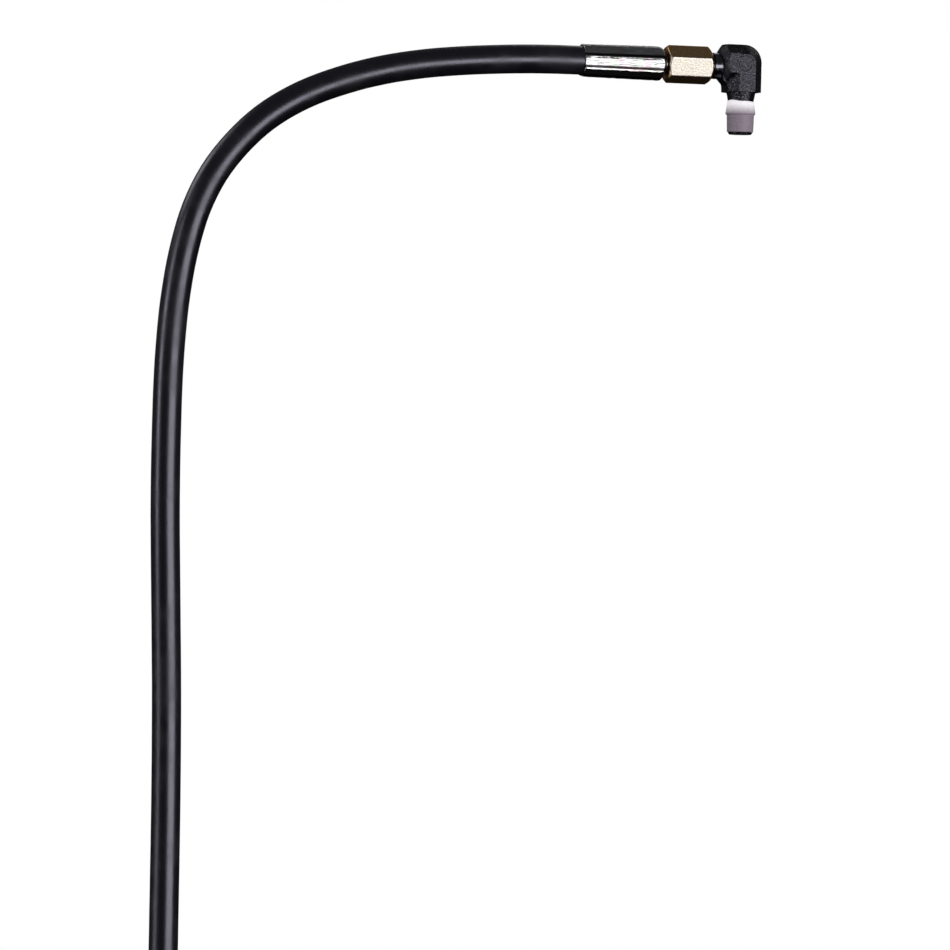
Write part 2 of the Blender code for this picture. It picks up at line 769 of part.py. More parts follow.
def bonded_washer(parent):
    """The pump's seal: a steel ring with a rubber lip bonded into its hole."""
    top = -ADAPTER_HEX_HEIGHT - GAP
    low = top - WASHER_THICKNESS
    turned(
        "pump_seal_ring",
        [
            (WASHER_OUTER_RADIUS - WASHER_EDGE, low),
            (WASHER_OUTER_RADIUS, low + WASHER_EDGE),
            (WASHER_OUTER_RADIUS, top - WASHER_EDGE),
            (WASHER_OUTER_RADIUS - WASHER_EDGE, top),
        ],
        [(WASHER_INNER_RADIUS, low), (WASHER_INNER_RADIUS, top)],
        "bright_zinc",
        parent,
    )
    bond = WASHER_INNER_RADIUS - 0.15 * MM
    middle = (top + low) / 2
    turned(
        "pump_seal_lip",
        [(bond, low + 0.1 * MM), (bond, top - 0.1 * MM)],
        [
            (LIP_ROOT_RADIUS, low + 0.1 * MM),
            (LIP_INNER_RADIUS, middle - LIP_HALF_HEIGHT),
            (LIP_INNER_RADIUS, middle + LIP_HALF_HEIGHT),
            (LIP_ROOT_RADIUS, top - 0.1 * MM),
        ],
        "rubber_black",
        parent,
    )


clear_scene()
PARTS = new_collection("hydraulic_hose_assembly")
CUTTERS = new_collection("hose_assembly_cutters")

PUMP_SHOULDER = Vector(
    (ROUTE_MM[-1][0] * MM, 0.0, ROUTE_MM[-1][1] * MM - FERRULE_END)
)
CYLINDER_AXIS = add_empty(
    "cylinder_end_axis",
    (RUN_FACE_X, 0.0, RUN_AXIS_Z),
    (0.0, math.radians(-90.0), 0.0),
)
PUMP_AXIS = add_empty("pump_end_axis", PUMP_SHOULDER, (0.0, 0.0, 0.0))

elbow()
thread_tape()
hose()
end_fitting("cylinder_end", CYLINDER_AXIS)
end_fitting("pump_end", PUMP_AXIS)
pump_adapter(PUMP_AXIS)
bonded_washer(PUMP_AXIS)
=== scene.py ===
# %% [markdown]
# # A press hose, fitted
#
# This file dresses the plain model of a hydraulic hose assembly: a forged elbow, a swivel nut,
# a crimped ferrule, a black wire-braid hose, and the same crimped swivel with an adapter on the
# pump's end. The plain model fixes every size and every joint. Here each piece gets its real
# surface: cut threads, crimp flats, wound tape, forging scale, zinc plate and rubber.
#
# Nearly every piece is round about a line, so one idea carries most of the work. A flat grid is
# rolled into a tube: its columns go round the line, and its rows follow the piece's outline. A
# small rule can then push each point in or out, which is how a hexagon, a thread or a wrinkle
# is made without leaving the tube.

import math

import bmesh
import bpy
from mathutils import Matrix, Vector, noise


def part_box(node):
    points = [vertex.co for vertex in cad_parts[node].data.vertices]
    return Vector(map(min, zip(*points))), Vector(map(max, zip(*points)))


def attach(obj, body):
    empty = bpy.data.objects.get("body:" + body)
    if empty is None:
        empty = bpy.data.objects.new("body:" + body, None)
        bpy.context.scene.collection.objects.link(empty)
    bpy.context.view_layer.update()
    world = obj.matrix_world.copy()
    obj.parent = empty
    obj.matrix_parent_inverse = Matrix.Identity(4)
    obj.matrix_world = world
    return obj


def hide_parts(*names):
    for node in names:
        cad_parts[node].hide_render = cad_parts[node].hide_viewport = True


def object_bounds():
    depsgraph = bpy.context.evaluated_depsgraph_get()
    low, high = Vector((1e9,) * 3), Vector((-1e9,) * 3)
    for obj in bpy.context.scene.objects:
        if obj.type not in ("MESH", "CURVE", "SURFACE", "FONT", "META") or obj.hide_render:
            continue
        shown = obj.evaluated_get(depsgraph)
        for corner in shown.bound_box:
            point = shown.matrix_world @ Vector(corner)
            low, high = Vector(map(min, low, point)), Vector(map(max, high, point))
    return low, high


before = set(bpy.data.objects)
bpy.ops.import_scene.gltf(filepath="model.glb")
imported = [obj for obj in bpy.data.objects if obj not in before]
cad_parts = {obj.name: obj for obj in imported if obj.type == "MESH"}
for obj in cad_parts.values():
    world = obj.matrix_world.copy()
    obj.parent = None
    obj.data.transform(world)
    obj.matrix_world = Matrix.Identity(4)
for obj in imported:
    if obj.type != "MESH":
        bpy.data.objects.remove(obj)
cad_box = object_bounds()

MM = 0.001
ACROSS = Vector((0.0, 1.0, 0.0))
scene = bpy.context.scene
print("CAD box", [round(value, 4) for corner in cad_box for value in corner])

# %% [markdown]
# ## The camera
#
# The view is a catalogue shot: a long lens from far away, a little to the left and from below
# the elbow, so straight lines stay almost parallel. A long lens is a large focal length on a
# 36 mm sensor. The camera is turned, not shifted, so that other views keep the object centred.

# %% Camera
CAMERA_PLACE = (-1.5742, -4.4162, -0.2572)
CAMERA_TURN = (90.81, -1.30, -18.0)
LENS = 341.05
SENSOR = 36.0


def add_camera():
    data = bpy.data.cameras.new("catalogue_camera")
    data.lens = LENS
    data.sensor_width = SENSOR
    data.clip_start = 0.1
    data.clip_end = 100.0
    camera = bpy.data.objects.new("catalogue_camera", data)
    scene.collection.objects.link(camera)
    camera.location = CAMERA_PLACE
    camera.rotation_euler = [math.radians(angle) for angle in CAMERA_TURN]
    scene.camera = camera


add_camera()
print("camera", CAMERA_PLACE, "lens", LENS)

# %% [markdown]
# ## Where each fitting stands
#
# Both ends of the hose carry the same swivel fitting, so it is described once, along a line of
# stations that starts at the male shoulder and runs towards the hose. Two matrices place that
# line: one lays it along -X at the elbow, and one stands it up at the pump. The plain model's
# boxes say where the two shoulders are.

# %% Stations along a fitting
FERRULE_START = 30.8 * MM
FERRULE_END = 75.7 * MM
HOSE_CORE_STATION = 36.5 * MM
COVER_STATION = 73.3 * MM

ferrule_low, ferrule_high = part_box("cylinder_end_ferrule")
RUN_AXIS_Z = (ferrule_low.z + ferrule_high.z) / 2
RUN_FACE_X = ferrule_high.x + FERRULE_START
pump_low, pump_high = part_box("pump_end_ferrule")
PUMP_X = (pump_low.x + pump_high.x) / 2
PUMP_SHOULDER_Z = pump_low.z - FERRULE_START

CYLINDER_END = Matrix.Translation((RUN_FACE_X, 0.0, RUN_AXIS_Z)) @ Matrix.Rotation(
    math.radians(-90.0), 4, "Y"
)
PUMP_END = Matrix.Translation((PUMP_X, 0.0, PUMP_SHOULDER_Z))
PORT = Matrix.Identity(4)
ENDS = (("cylinder", CYLINDER_END), ("pump", PUMP_END))
print("run face", round(RUN_FACE_X, 5), "run axis", round(RUN_AXIS_Z, 5))

# %% [markdown]
# ## Rolling a grid
#
# `bmesh.ops.create_grid` makes the sheet and gives it a UV map. Each of its vertices knows its
# column and its row, so a placing rule can move it to its seat on the piece. Merging doubles
# then closes the seam where the first and last columns meet, and, on a ring-shaped piece, the
# seam where the outline comes back to its start. The UV map is rewritten in turns round and in
# metres along, so that a pattern keeps its scale.

# %% The rolling helpers
NEARLY_STRAIGHT = math.radians(6.0)
EASED_SHARE = 0.42
SEAM_GAP = 1e-7


def in_metres(points):
    """Points given in millimetres, as vectors in metres."""
    return [Vector(point) * MM for point in points]


def eased(outline, size, steps=3):
    """A closed outline whose corners are replaced by short curves."""
    points = [Vector(point) for point in outline]
    result = []
    for index, corner in enumerate(points):
        back = points[index - 1] - corner
        ahead = points[(index + 1) % len(points)] - corner
        straight = back.length > 0 and ahead.length > 0
        if straight and back.angle(-ahead) < NEARLY_STRAIGHT:
            result.append(corner)
            continue
        start = corner + back.normalized() * min(size, EASED_SHARE * back.length)
        end = corner + ahead.normalized() * min(size, EASED_SHARE * ahead.length)
        for step in range(steps + 1):
            t = step / steps
            middle = corner * (2 * t * (1 - t))
            result.append(start * (1 - t) ** 2 + middle + end * t**2)
    return result


def spaced(outline, longest):
    """An open outline with points added, so that no stretch is longer than given."""
    rows = []
    for point, after in zip(outline, outline[1:]):
        count = max(1, math.ceil((after - point).length / longest))
        rows += [point.lerp(after, step / count) for step in range(count)]
    return rows + [outline[-1]]


def ring_rows(outline, easing, longest, steps=2):
    """The rows of a closed outline: corners eased, long stretches divided, back at its start."""
    ring = eased(outline, easing, steps)
    return spaced([*ring, ring[0]], longest)


def straight_line(matrix):
    """The line that a turned piece is round about: a place, and two sides across it."""
    side = matrix.to_3x3() @ Vector((1.0, 0.0, 0.0))
    other = matrix.to_3x3() @ ACROSS

    def at(station):
        return matrix @ Vector((0.0, 0.0, station)), side, other

    return at


def rolled(name, outline, around, line, rule=None, start_angle=0.0):
    """A ring-shaped piece: a grid rolled round a line, with its rows along the outline."""
    rows = [tuple(point) for point in outline]
    shape = bmesh.new()
    uv_layer = shape.loops.layers.uv.new("UVMap")
    last = len(rows) - 1
    bmesh.ops.create_grid(
        shape, x_segments=around, y_segments=last, size=0.5, calc_uvs=True
    )
    for face in shape.faces:
        for loop in face.loops:
            turn, share = loop[uv_layer].uv
            loop[uv_layer].uv = (turn, rows[round(share * last)][1])
    for vert in shape.verts:
        turn = vert.co.x + 0.5
        radius, station = rows[round((vert.co.y + 0.5) * last)]
        angle = start_angle + math.tau * turn
        if rule:
            radius, station = rule(radius, station, angle)
        centre, side, other = line(station)
        vert.co = centre + radius * (side * math.cos(angle) + other * math.sin(angle))
    bmesh.ops.remove_doubles(shape, verts=shape.verts, dist=SEAM_GAP)
    bmesh.ops.recalc_face_normals(shape, faces=shape.faces)
    return add_piece(name, shape)


def new_object(name, shape):
    """Makes a bmesh an object at the origin."""
    mesh = bpy.data.meshes.new(name)
    shape.to_mesh(mesh)
    shape.free()
    made = bpy.data.objects.new(name, mesh)
    scene.collection.objects.link(made)
    return made


def add_piece(name, shape):
    """A new object, shaded smooth and counted."""
    piece = new_object(name, shape)
    piece.data.shade_smooth()
    print(name, len(piece.data.polygons), "faces")
    return piece


def dress(piece, material, body, node):
    """Gives a piece its material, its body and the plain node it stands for."""
    piece.data.materials.clear()
    piece.data.materials.append(material)
    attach(piece, body)
    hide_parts(node)


# %% [markdown]
# ## The hose's line
#
# The hose is one fixed length of stiff rubber and wire. It leaves the ferrule level, because the
# wire braid holds it straight there, then its own weight takes it over in a wide arch and down. The
# route is a list of given points, in the same plane as the elbow. A cubic through each stretch, with
# slopes taken from its neighbours, turns them into one smooth line.

# %% Route
ROUTE_MM = (
    (-88.2, 24.75),
    (-110.2, 24.5),
    (-132.2, 23.5),
    (-154.2, 21.8),
    (-175.2, 19.3),
    (-197.1, 15.1),
    (-218.1, 9.0),
    (-239.0, 0.5),
    (-257.9, -11.1),
    (-272.8, -25.0),
    (-284.6, -40.4),
    (-293.5, -58.4),
    (-299.8, -80.5),
    (-304.0, -106.5),
    (-306.3, -137.5),
    (-306.9, -172.5),
    (-306.6, -212.5),
    (-305.2, -257.5),
    (-303.6, -307.5),
    (-302.7, -360.0),
    (-302.3, -420.0),
    (-302.1, -480.0),
    (-302.0, -540.0),
    (-302.0, -600.0),
    (-302.0, -650.0),
    (-302.0, -682.8),
)
RING_SPACING = 5.0 * MM


def smooth_route(points, steps=12):
    """A smooth line through the points, one cubic for each stretch."""
    line = [points[0] * 2 - points[1], *points, points[-1] * 2 - points[-2]]
    curve = []
    for p0, p1, p2, p3 in zip(line, line[1:], line[2:], line[3:]):
        a = math.sqrt((p1 - p0).length)
        b = math.sqrt((p2 - p1).length)
        c = math.sqrt((p3 - p2).length)
        start_slope = ((p1 - p0) / a - (p2 - p0) / (a + b) + (p2 - p1) / b) * b
        end_slope = ((p2 - p1) / b - (p3 - p1) / (b + c) + (p3 - p2) / c) * b
        for step in range(steps):
            t = step / steps
            curve.append(
                p1 * (2 * t**3 - 3 * t**2 + 1)
                + start_slope * (t**3 - 2 * t**2 + t)
                + p2 * (3 * t**2 - 2 * t**3)
                + end_slope * (t**3 - t**2)
            )
    return curve + [points[-1]]


def hose_points(station):
    """The centre line of a layer that begins and ends at a station inside the ferrules."""
    route = [Vector((x, 0.0, z)) * MM for x, z in ROUTE_MM]
    first = CYLINDER_END @ Vector((0.0, 0.0, station))
    last = PUMP_END @ Vector((0.0, 0.0, station))
    return [first, *smooth_route(route), last]


def measured_line(points):
    """The length of a line of points, and a rule for the place at any length along it."""
    lengths = [0.0]
    for a, b in zip(points, points[1:]):
        lengths.append(lengths[-1] + (b - a).length)
    slopes = []
    for index in range(len(points)):
        before = points[max(index - 1, 0)]
        after = points[min(index + 1, len(points) - 1)]
        slopes.append((after - before).normalized())

    def at(station):
        low, high = 0, len(lengths) - 1
        while high - low > 1:
            middle = (low + high) // 2
            if lengths[middle] <= station:
                low = middle
            else:
                high = middle
        share = (station - lengths[low]) / (lengths[high] - lengths[low])
        centre = points[low].lerp(points[high], share)
        along = slopes[low].lerp(slopes[high], share).normalized()
        side = ACROSS.cross(along)
        return centre, side, along.cross(side)

    return lengths[-1], at


def tube_rows(inner, outer, length):
    """A tube's wall: out along its outer side and back along its bore."""
    corners = [(outer, 0.0), (outer, length), (inner, length), (inner, 0.0)]
    return ring_rows(corners, 0.12 * MM, RING_SPACING)


HOSE_RADIUS = 7.5 * MM
COVER_INNER_RADIUS = 6.5 * MM
COVER_UNEVEN = 0.035 * MM
cover_points = hose_points(COVER_STATION)
cover_length, cover_line = measured_line(cover_points)


def cover_rule(radius, station, angle):
    """The cover was wrapped while it cured, which leaves it a few hundredths uneven."""
    if radius < COVER_INNER_RADIUS + 0.5 * MM:
        return radius, station
    place = Vector((math.cos(angle) * 1.2, math.sin(angle) * 1.2, station / (9 * MM)))
    return radius + COVER_UNEVEN * noise.noise(place), station


hose_cover = rolled(
    "hose_cover_rubber",
    tube_rows(COVER_INNER_RADIUS, HOSE_RADIUS, cover_length),
    48,
    cover_line,
    cover_rule,
)
print("cover length", round(cover_length, 4), "m")

# %% [markdown]
# ## Finishes that several materials share
#
# Zinc plate, forging scale and rubber all have fine texture that no mesh should carry, so it
# is made from noise in each material. The parts that several materials need are node groups:
# one for a fine grain, one for slow drifts of colour such as the rainbow of a passivated
# plate, and one for dust and scuffs. Each has named inputs, and puts out values or colours
# only, so the shader itself stays in the material. The small helpers come first: each adds one
# node, feeds it, and hands back what it puts out.

# %% Node helpers


def node(tree, kind, **settings):
    made = tree.nodes.new("ShaderNode" + kind)
    for key, value in settings.items():
        setattr(made, key, value)
    return made


def feed(tree, value, target):
    """Gives a socket another socket's value or a plain one. A plain colour is made opaque."""
    if isinstance(value, bpy.types.NodeSocket):
        tree.links.new(value, target)
    elif target.type == "RGBA":
        target.default_value = (*value, 1.0)
    else:
        target.default_value = value


def fed(tree, made, values):
    """The node, with its first inputs fed in their order."""
    for socket, value in zip(made.inputs, values):
        feed(tree, value, socket)
    return made


def maths(tree, operation, *values):
    return fed(tree, node(tree, "Math", operation=operation), values).outputs[0]


def vector_maths(tree, operation, *values):
    return fed(tree, node(tree, "VectorMath", operation=operation), values).outputs


def remap(tree, source, low, high, to_low=0.0, to_high=1.0):
    made = node(tree, "MapRange", clamp=True)
    return fed(tree, made, (source, low, high, to_low, to_high)).outputs["Result"]


def mix_colour(tree, share, first, second, blend="MIX"):
    """Blends two colours. Sockets 0, 6 and 7 are the share and the colours."""
    made = node(tree, "Mix", data_type="RGBA", blend_type=blend)
    for index, value in ((0, share), (6, first), (7, second)):
        feed(tree, value, made.inputs[index])
    return made.outputs[2]


def noise_value(tree, vector, scale, detail, roughness):
    made = node(tree, "TexNoise")
    feed(tree, vector, made.inputs["Vector"])
    feed(tree, scale, made.inputs["Scale"])
    made.inputs["Detail"].default_value = detail
    made.inputs["Roughness"].default_value = roughness
    return made.outputs["Fac"]


def stretched(tree, vector, factors):
    made = node(tree, "Mapping")
    feed(tree, vector, made.inputs["Vector"])
    feed(tree, factors, made.inputs["Scale"])
    return made.outputs["Vector"]


def parts_of(tree, vector):
    return fed(tree, node(tree, "SeparateXYZ"), (vector,)).outputs


print("node helpers ready")

# %% [markdown]
# ### The groups themselves
#
# A group is a small tree of its own, with an entry node and a leaving node. All three take a
# place on the surface and a scale. The grain adds pits to fine noise, the drift blends three
# tints by two slow noises, and the scuffs are noise stretched into lines.

# %% Node groups


def new_group(name, scale, outputs, tints=()):
    """A shader node group that takes a vector, a scale and any tints."""
    group = bpy.data.node_groups.new(name, "ShaderNodeTree")
    inputs = [("Vector", "NodeSocketVector", (0.0, 0.0, 0.0)), ("Scale", "NodeSocketFloat", scale)]
    inputs += [(label, "NodeSocketColor", (*tint, 1.0)) for label, tint in tints]
    for label, kind, value in inputs:
        socket = group.interface.new_socket(name=label, in_out="INPUT", socket_type=kind)
        socket.default_value = value
    for label, kind in outputs:
        group.interface.new_socket(name=label, in_out="OUTPUT", socket_type="NodeSocket" + kind)
    given = group.nodes.new("NodeGroupInput").outputs
    gives = group.nodes.new("NodeGroupOutput").inputs
    return group, given, gives


def grain_group():
    """Fine grain: a height and a mask of specks, both from noise at a given scale."""
    group, given, gives = new_group("fine_grain", 2000.0, [("Height", "Float"), ("Specks", "Float")])
    fine = noise_value(group, given["Vector"], given["Scale"], 6.0, 0.62)
    cells = node(group, "TexVoronoi")
    for label in ("Vector", "Scale"):
        feed(group, given[label], cells.inputs[label])
    pits = remap(group, cells.outputs["Distance"], 0.0, 0.6)
    height = maths(group, "ADD", maths(group, "MULTIPLY", fine, pits), fine)
    feed(group, height, gives["Height"])
    feed(group, remap(group, fine, 0.58, 0.68), gives["Specks"])
    return group


def drift_group():
    """Slow drifts of colour over a plated surface, as a colour to multiply in."""
    tints = (("First", (1.0, 0.86, 0.9)), ("Second", (0.86, 1.0, 0.9)), ("Third", (0.9, 0.9, 1.0)))
    group, given, gives = new_group("plate_drift", 160.0, [("Colour", "Color")], tints)
    slow = noise_value(group, given["Vector"], given["Scale"], 3.0, 0.6)
    slower = noise_value(group, given["Vector"], 70.0, 2.0, 0.55)
    pair = mix_colour(group, remap(group, slow, 0.36, 0.64), given["First"], given["Second"])
    drift = mix_colour(group, remap(group, slower, 0.4, 0.62), pair, given["Third"])
    feed(group, drift, gives["Colour"])
    return group


def scuff_group():
    """Scuffs and dust: long thin scratches and soft patches, as two masks."""
    group, given, gives = new_group(
        "scuffs_and_dust", 40.0, [("Scuffs", "Float"), ("Dust", "Float")]
    )
    lines = stretched(group, given["Vector"], (1.0, 6.0, 9.0))
    scratches = noise_value(group, lines, given["Scale"], 8.0, 0.7)
    patches = noise_value(group, given["Vector"], given["Scale"], 5.0, 0.65)
    feed(group, remap(group, scratches, 0.6, 0.72), gives["Scuffs"])
    feed(group, remap(group, patches, 0.48, 0.7), gives["Dust"])
    return group


FINE_GRAIN = grain_group()
PLATE_DRIFT = drift_group()
SCUFFS = scuff_group()
print("node groups", [group.name for group in (FINE_GRAIN, PLATE_DRIFT, SCUFFS)])

# %% [markdown]
# ## The materials
#
# Metals take their look from what they mirror, so each plate is a metallic shader whose
# roughness sets how far it blurs the lights. Rubber and tape aren't metallic. Texture scales
# are per metre, so 2000 makes grains half a millimetre wide.

# %% Material helpers
COOL_WHITE = (0.86, 0.84, 1.0)


def paint(tree, shader, **values):
    """Feeds the shader's inputs. An underscore stands for a space in an input's name."""
    for label, value in values.items():
        feed(tree, value, shader.inputs[label.replace("_", " ")])


def new_material(name, colour, roughness, metallic):
    """A Principled material with its constant numbers set, and object coordinates at hand."""
    material = bpy.data.materials.new(name)
    material.use_nodes = True
    tree = material.node_tree
    shader = tree.nodes["Principled BSDF"]
    paint(tree, shader, Base_Color=colour, Roughness=roughness, Metallic=metallic)
    place = node(tree, "TexCoord").outputs["Object"]
    return material, tree, shader, place


def use_group(tree, group, vector, **values):
    """Places a shared group, and hands back what it puts out."""
    made = node(tree, "Group", node_tree=group)
    feed(tree, vector, made.inputs["Vector"])
    for label, value in values.items():
        feed(tree, value, made.inputs[label])
    return made.outputs


def bump(tree, shader, height, strength, distance, under=None):
    """Adds a bump to the shader, on top of an earlier one if there is one."""
    made = node(tree, "Bump")
    feed(tree, strength, made.inputs["Strength"])
    feed(tree, distance, made.inputs["Distance"])
    feed(tree, height, made.inputs["Height"])
    if under is not None:
        feed(tree, under, made.inputs["Normal"])
    feed(tree, made.outputs["Normal"], shader.inputs["Normal"])
    return made.outputs["Normal"]


print("material helpers ready")

# %% [markdown]
# ### Rubber
#
# The cover is vulcanised in a wrap, so it comes out smooth and a little shiny. Handling leaves
# dust and dull scuffs, which raise the roughness and lift the black slightly. The same recipe
# with other numbers makes the matt rubber inside.

# %% Rubber


def rubber_material(name, colour, roughness, dust):
    """Black rubber: a soft sheen, a mould-dull drift of roughness and a little dust."""
    material, tree, shader, place = new_material(name, colour, roughness, 0.0)
    marks = use_group(tree, SCUFFS, place, Scale=55.0)
    grain = use_group(tree, FINE_GRAIN, place, Scale=1000.0)
    dull = remap(tree, marks["Dust"], 0.0, 1.0, roughness, roughness + 0.12)
    scuffed = maths(tree, "MULTIPLY", marks["Scuffs"], 0.1)
    dusty = maths(tree, "MULTIPLY", marks["Dust"], dust)
    paint(
        tree,
        shader,
        Base_Color=mix_colour(tree, dusty, colour, (0.09, 0.088, 0.085)),
        Roughness=maths(tree, "ADD", dull, scuffed),
        Specular_IOR_Level=1.0,
        Specular_Tint=COOL_WHITE,
    )
    bump(tree, shader, grain["Height"], 0.4, 0.06 * MM)
    return material


COVER_RUBBER = rubber_material("cover_rubber", (0.0075, 0.0070, 0.0110), 0.30, 0.12)
TUBE_RUBBER = rubber_material("tube_rubber", (0.016, 0.016, 0.016), 0.55, 0.05)
print("rubbers", COVER_RUBBER.name, TUBE_RUBBER.name)

# %% [markdown]
# ### Black forging
#
# Phosphate makes forged steel black and gritty, with tiny crystals that glitter. Their glitter is
# painted: pale specks are mixed into the colour only where the surface faces the camera. The turned
# end is cut after forging, so it shows darkened metal there instead. One mask along X tells the two
# apart. A ring left by the forging die is a raised ridge on the mesh, and its paler look is a
# painted highlight of its edges catching the light: it is a mask here, and a ridge on the mesh, so
# its place is named once for both.

# %% Black forging
FORGING_MARK = Vector((-1.3 * MM, 0.0, 25.5 * MM))
MARK_RADIUS = 4.0 * MM


def ring_highlight_mask(tree, place):
    """1 on the die's ring mark and 0 off it: where the ring's painted highlight goes."""
    off_mark = vector_maths(tree, "SUBTRACT", place, FORGING_MARK)["Vector"]
    flat = vector_maths(tree, "MULTIPLY", off_mark, (1.0, 0.0, 1.0))["Vector"]
    length = vector_maths(tree, "LENGTH", flat)["Value"]
    off_ring = maths(tree, "ABSOLUTE", maths(tree, "SUBTRACT", length, MARK_RADIUS))
    return remap(tree, off_ring, 0.2 * MM, 0.5 * MM, 1.0, 0.0)


def forging_material():
    """Black phosphated forging: dark and gritty, with painted glints of pale crystals and a painted
    highlight on the die's ring, and bright where turned.
    """
    material, tree, shader, place = new_material("black_forging", (0.02, 0.02, 0.025), 0.4, 0.0)
    coarse = use_group(tree, FINE_GRAIN, place, Scale=620.0)
    fine = use_group(tree, FINE_GRAIN, place, Scale=1500.0)
    # The crystals' glitter and the die ring's highlight are painted: pale colours mixed in only
    # where the surface is seen straight on.
    facing = node(tree, "LayerWeight").outputs["Facing"]
    straight = remap(tree, facing, 0.12, 0.30, 1.0, 0.0)
    colour = (0.004, 0.004, 0.006)
    for mask, tint in (
        (coarse["Specks"], (0.20, 0.19, 0.235)),
        (fine["Specks"], (0.62, 0.60, 0.72)),
        (maths(tree, "MULTIPLY", ring_highlight_mask(tree, place), 0.5), (0.17, 0.165, 0.19)),
    ):
        colour = mix_colour(tree, maths(tree, "MULTIPLY", mask, straight), colour, tint)
    turned = remap(tree, parts_of(tree, place)["X"], RUN_FACE_X + 0.1 * MM, RUN_FACE_X - 0.1 * MM)
    rough = remap(tree, coarse["Height"], 0.5, 1.1, 0.20, 0.46)
    paint(
        tree,
        shader,
        Base_Color=mix_colour(tree, turned, colour, (0.13, 0.13, 0.15)),
        Roughness=maths(tree, "SUBTRACT", rough, maths(tree, "MULTIPLY", turned, 0.16)),
        Metallic=turned,
        Specular_IOR_Level=remap(tree, straight, 0.0, 1.0, 0.35, 0.70),
        Specular_Tint=COOL_WHITE,
    )
    forged = maths(tree, "SUBTRACT", 1.0, maths(tree, "MULTIPLY", turned, 0.9))
    first = bump(tree, shader, coarse["Height"], forged, 0.18 * MM)
    bump(tree, shader, fine["Height"], forged, 0.08 * MM, first)
    return material


FORGING = forging_material()
print("forging", len(FORGING.node_tree.nodes), "nodes")

# %% [markdown]
# ### Zinc plates
#
# Zinc is plated on and then passivated in a bath, which tints it. A clear bath leaves a faint
# rainbow, and a yellow one leaves straw that turns browner at a slant; the brown given to faces seen
# at a slant is partly that tint and partly painted shade. The plate is a metallic shader with those
# tints multiplied in. The sleeves need more: the crimping dies drag long streaks over them, so
# theirs follow the UV map's turns and metres, and a dark band of painted shade lies along one side
# of every flat. The dies' clock and count are named here because the streaks, that painted shade and
# the pressed flats use them.

# %% Zinc plates


def zinc_material(name, colour, roughness, tints, sandy, rainbow, slant_tint_and_shade=None):
    """Passivated zinc plate on turned steel, with its drifting tint and sandy grain."""
    material, tree, shader, place = new_material(name, colour, roughness, 1.0)
    tinting = dict(zip(("First", "Second", "Third"), tints))
    drift = use_group(tree, PLATE_DRIFT, place, Scale=rainbow, **tinting)
    grain = use_group(tree, FINE_GRAIN, place, Scale=1250.0)
    tinted = mix_colour(tree, 1.0, colour, drift["Colour"], "MULTIPLY")
    dull = (colour[0] * 0.8, colour[1] * 0.68, colour[2] * 0.55)
    specks = maths(tree, "MULTIPLY", grain["Specks"], sandy)
    plate = mix_colour(tree, specks, tinted, dull)
    if slant_tint_and_shade:
        # A thick yellow plate looks pale from straight on and browner at a slant. The brown given to
        # faces seen at a slant is partly that tint and partly painted shade.
        facing = node(tree, "LayerWeight").outputs["Facing"]
        lighter = [min(1.0, share * 1.7) for share in slant_tint_and_shade]
        brown = mix_colour(tree, specks, slant_tint_and_shade, lighter)
        plate = mix_colour(tree, remap(tree, facing, 0.14, 0.40), plate, brown)
    rough = remap(tree, grain["Height"], 0.4, 1.1, roughness * 0.8, roughness * 1.35)
    paint(tree, shader, Base_Color=plate, Roughness=rough)
    normal = bump(tree, shader, grain["Height"], 0.2 + sandy, 0.04 * MM)
    return material, tree, shader, plate, normal


# The dies' clock, and where the first flat's edge lies round the sleeve, counted in flats.
DIES = 8
FERRULE_CLOCK = math.radians(-10.5)
FLAT_SHIFT = 0.5 - DIES * FERRULE_CLOCK / math.tau


def crimped_zinc_material():
    """The bright plate of the sleeves, with the dies' long streaks pressed into it and painted shade
    along one side of every flat.
    """
    tints = ((1.0, 0.62, 0.84), (0.74, 1.0, 0.70), (0.95, 0.97, 1.0))
    material, tree, shader, colour, normal = zinc_material(
        "crimped_zinc", (0.51, 0.51, 0.51), 0.17, tints, 0.1, 170.0
    )
    uv = node(tree, "UVMap", uv_map="UVMap").outputs["UV"]
    along = stretched(tree, uv, (90.0, 70.0, 1.0))
    streaks = noise_value(tree, along, 1.0, 5.0, 0.6)
    fine_lines = noise_value(tree, along, 2.3, 4.0, 0.65)
    bump(tree, shader, streaks, 0.6, 0.3 * MM, normal)

    # Along one side of every flat a dark band is painted shade, where the flat mirrors less of the
    # light.
    flats = maths(tree, "MULTIPLY", parts_of(tree, uv)["X"], float(DIES))
    across = maths(tree, "FRACT", maths(tree, "ADD", flats, FLAT_SHIFT))
    side = maths(
        tree, "MULTIPLY", remap(tree, across, 0.07, 0.13), remap(tree, across, 0.37, 0.28)
    )
    painted_flat_shade = maths(tree, "MULTIPLY", side, remap(tree, streaks, 0.38, 0.52, 0.85, 1.0))
    for share, tint in (
        (remap(tree, fine_lines, 0.50, 0.66, 0.0, 0.8), (0.86, 0.86, 0.83)),
        (remap(tree, streaks, 0.58, 0.70, 0.0, 0.7), (0.14, 0.07, 0.12)),
        (painted_flat_shade, (0.014, 0.007, 0.011)),
    ):
        colour = mix_colour(tree, share, colour, tint)
    paint(tree, shader, Base_Color=colour)
    return material


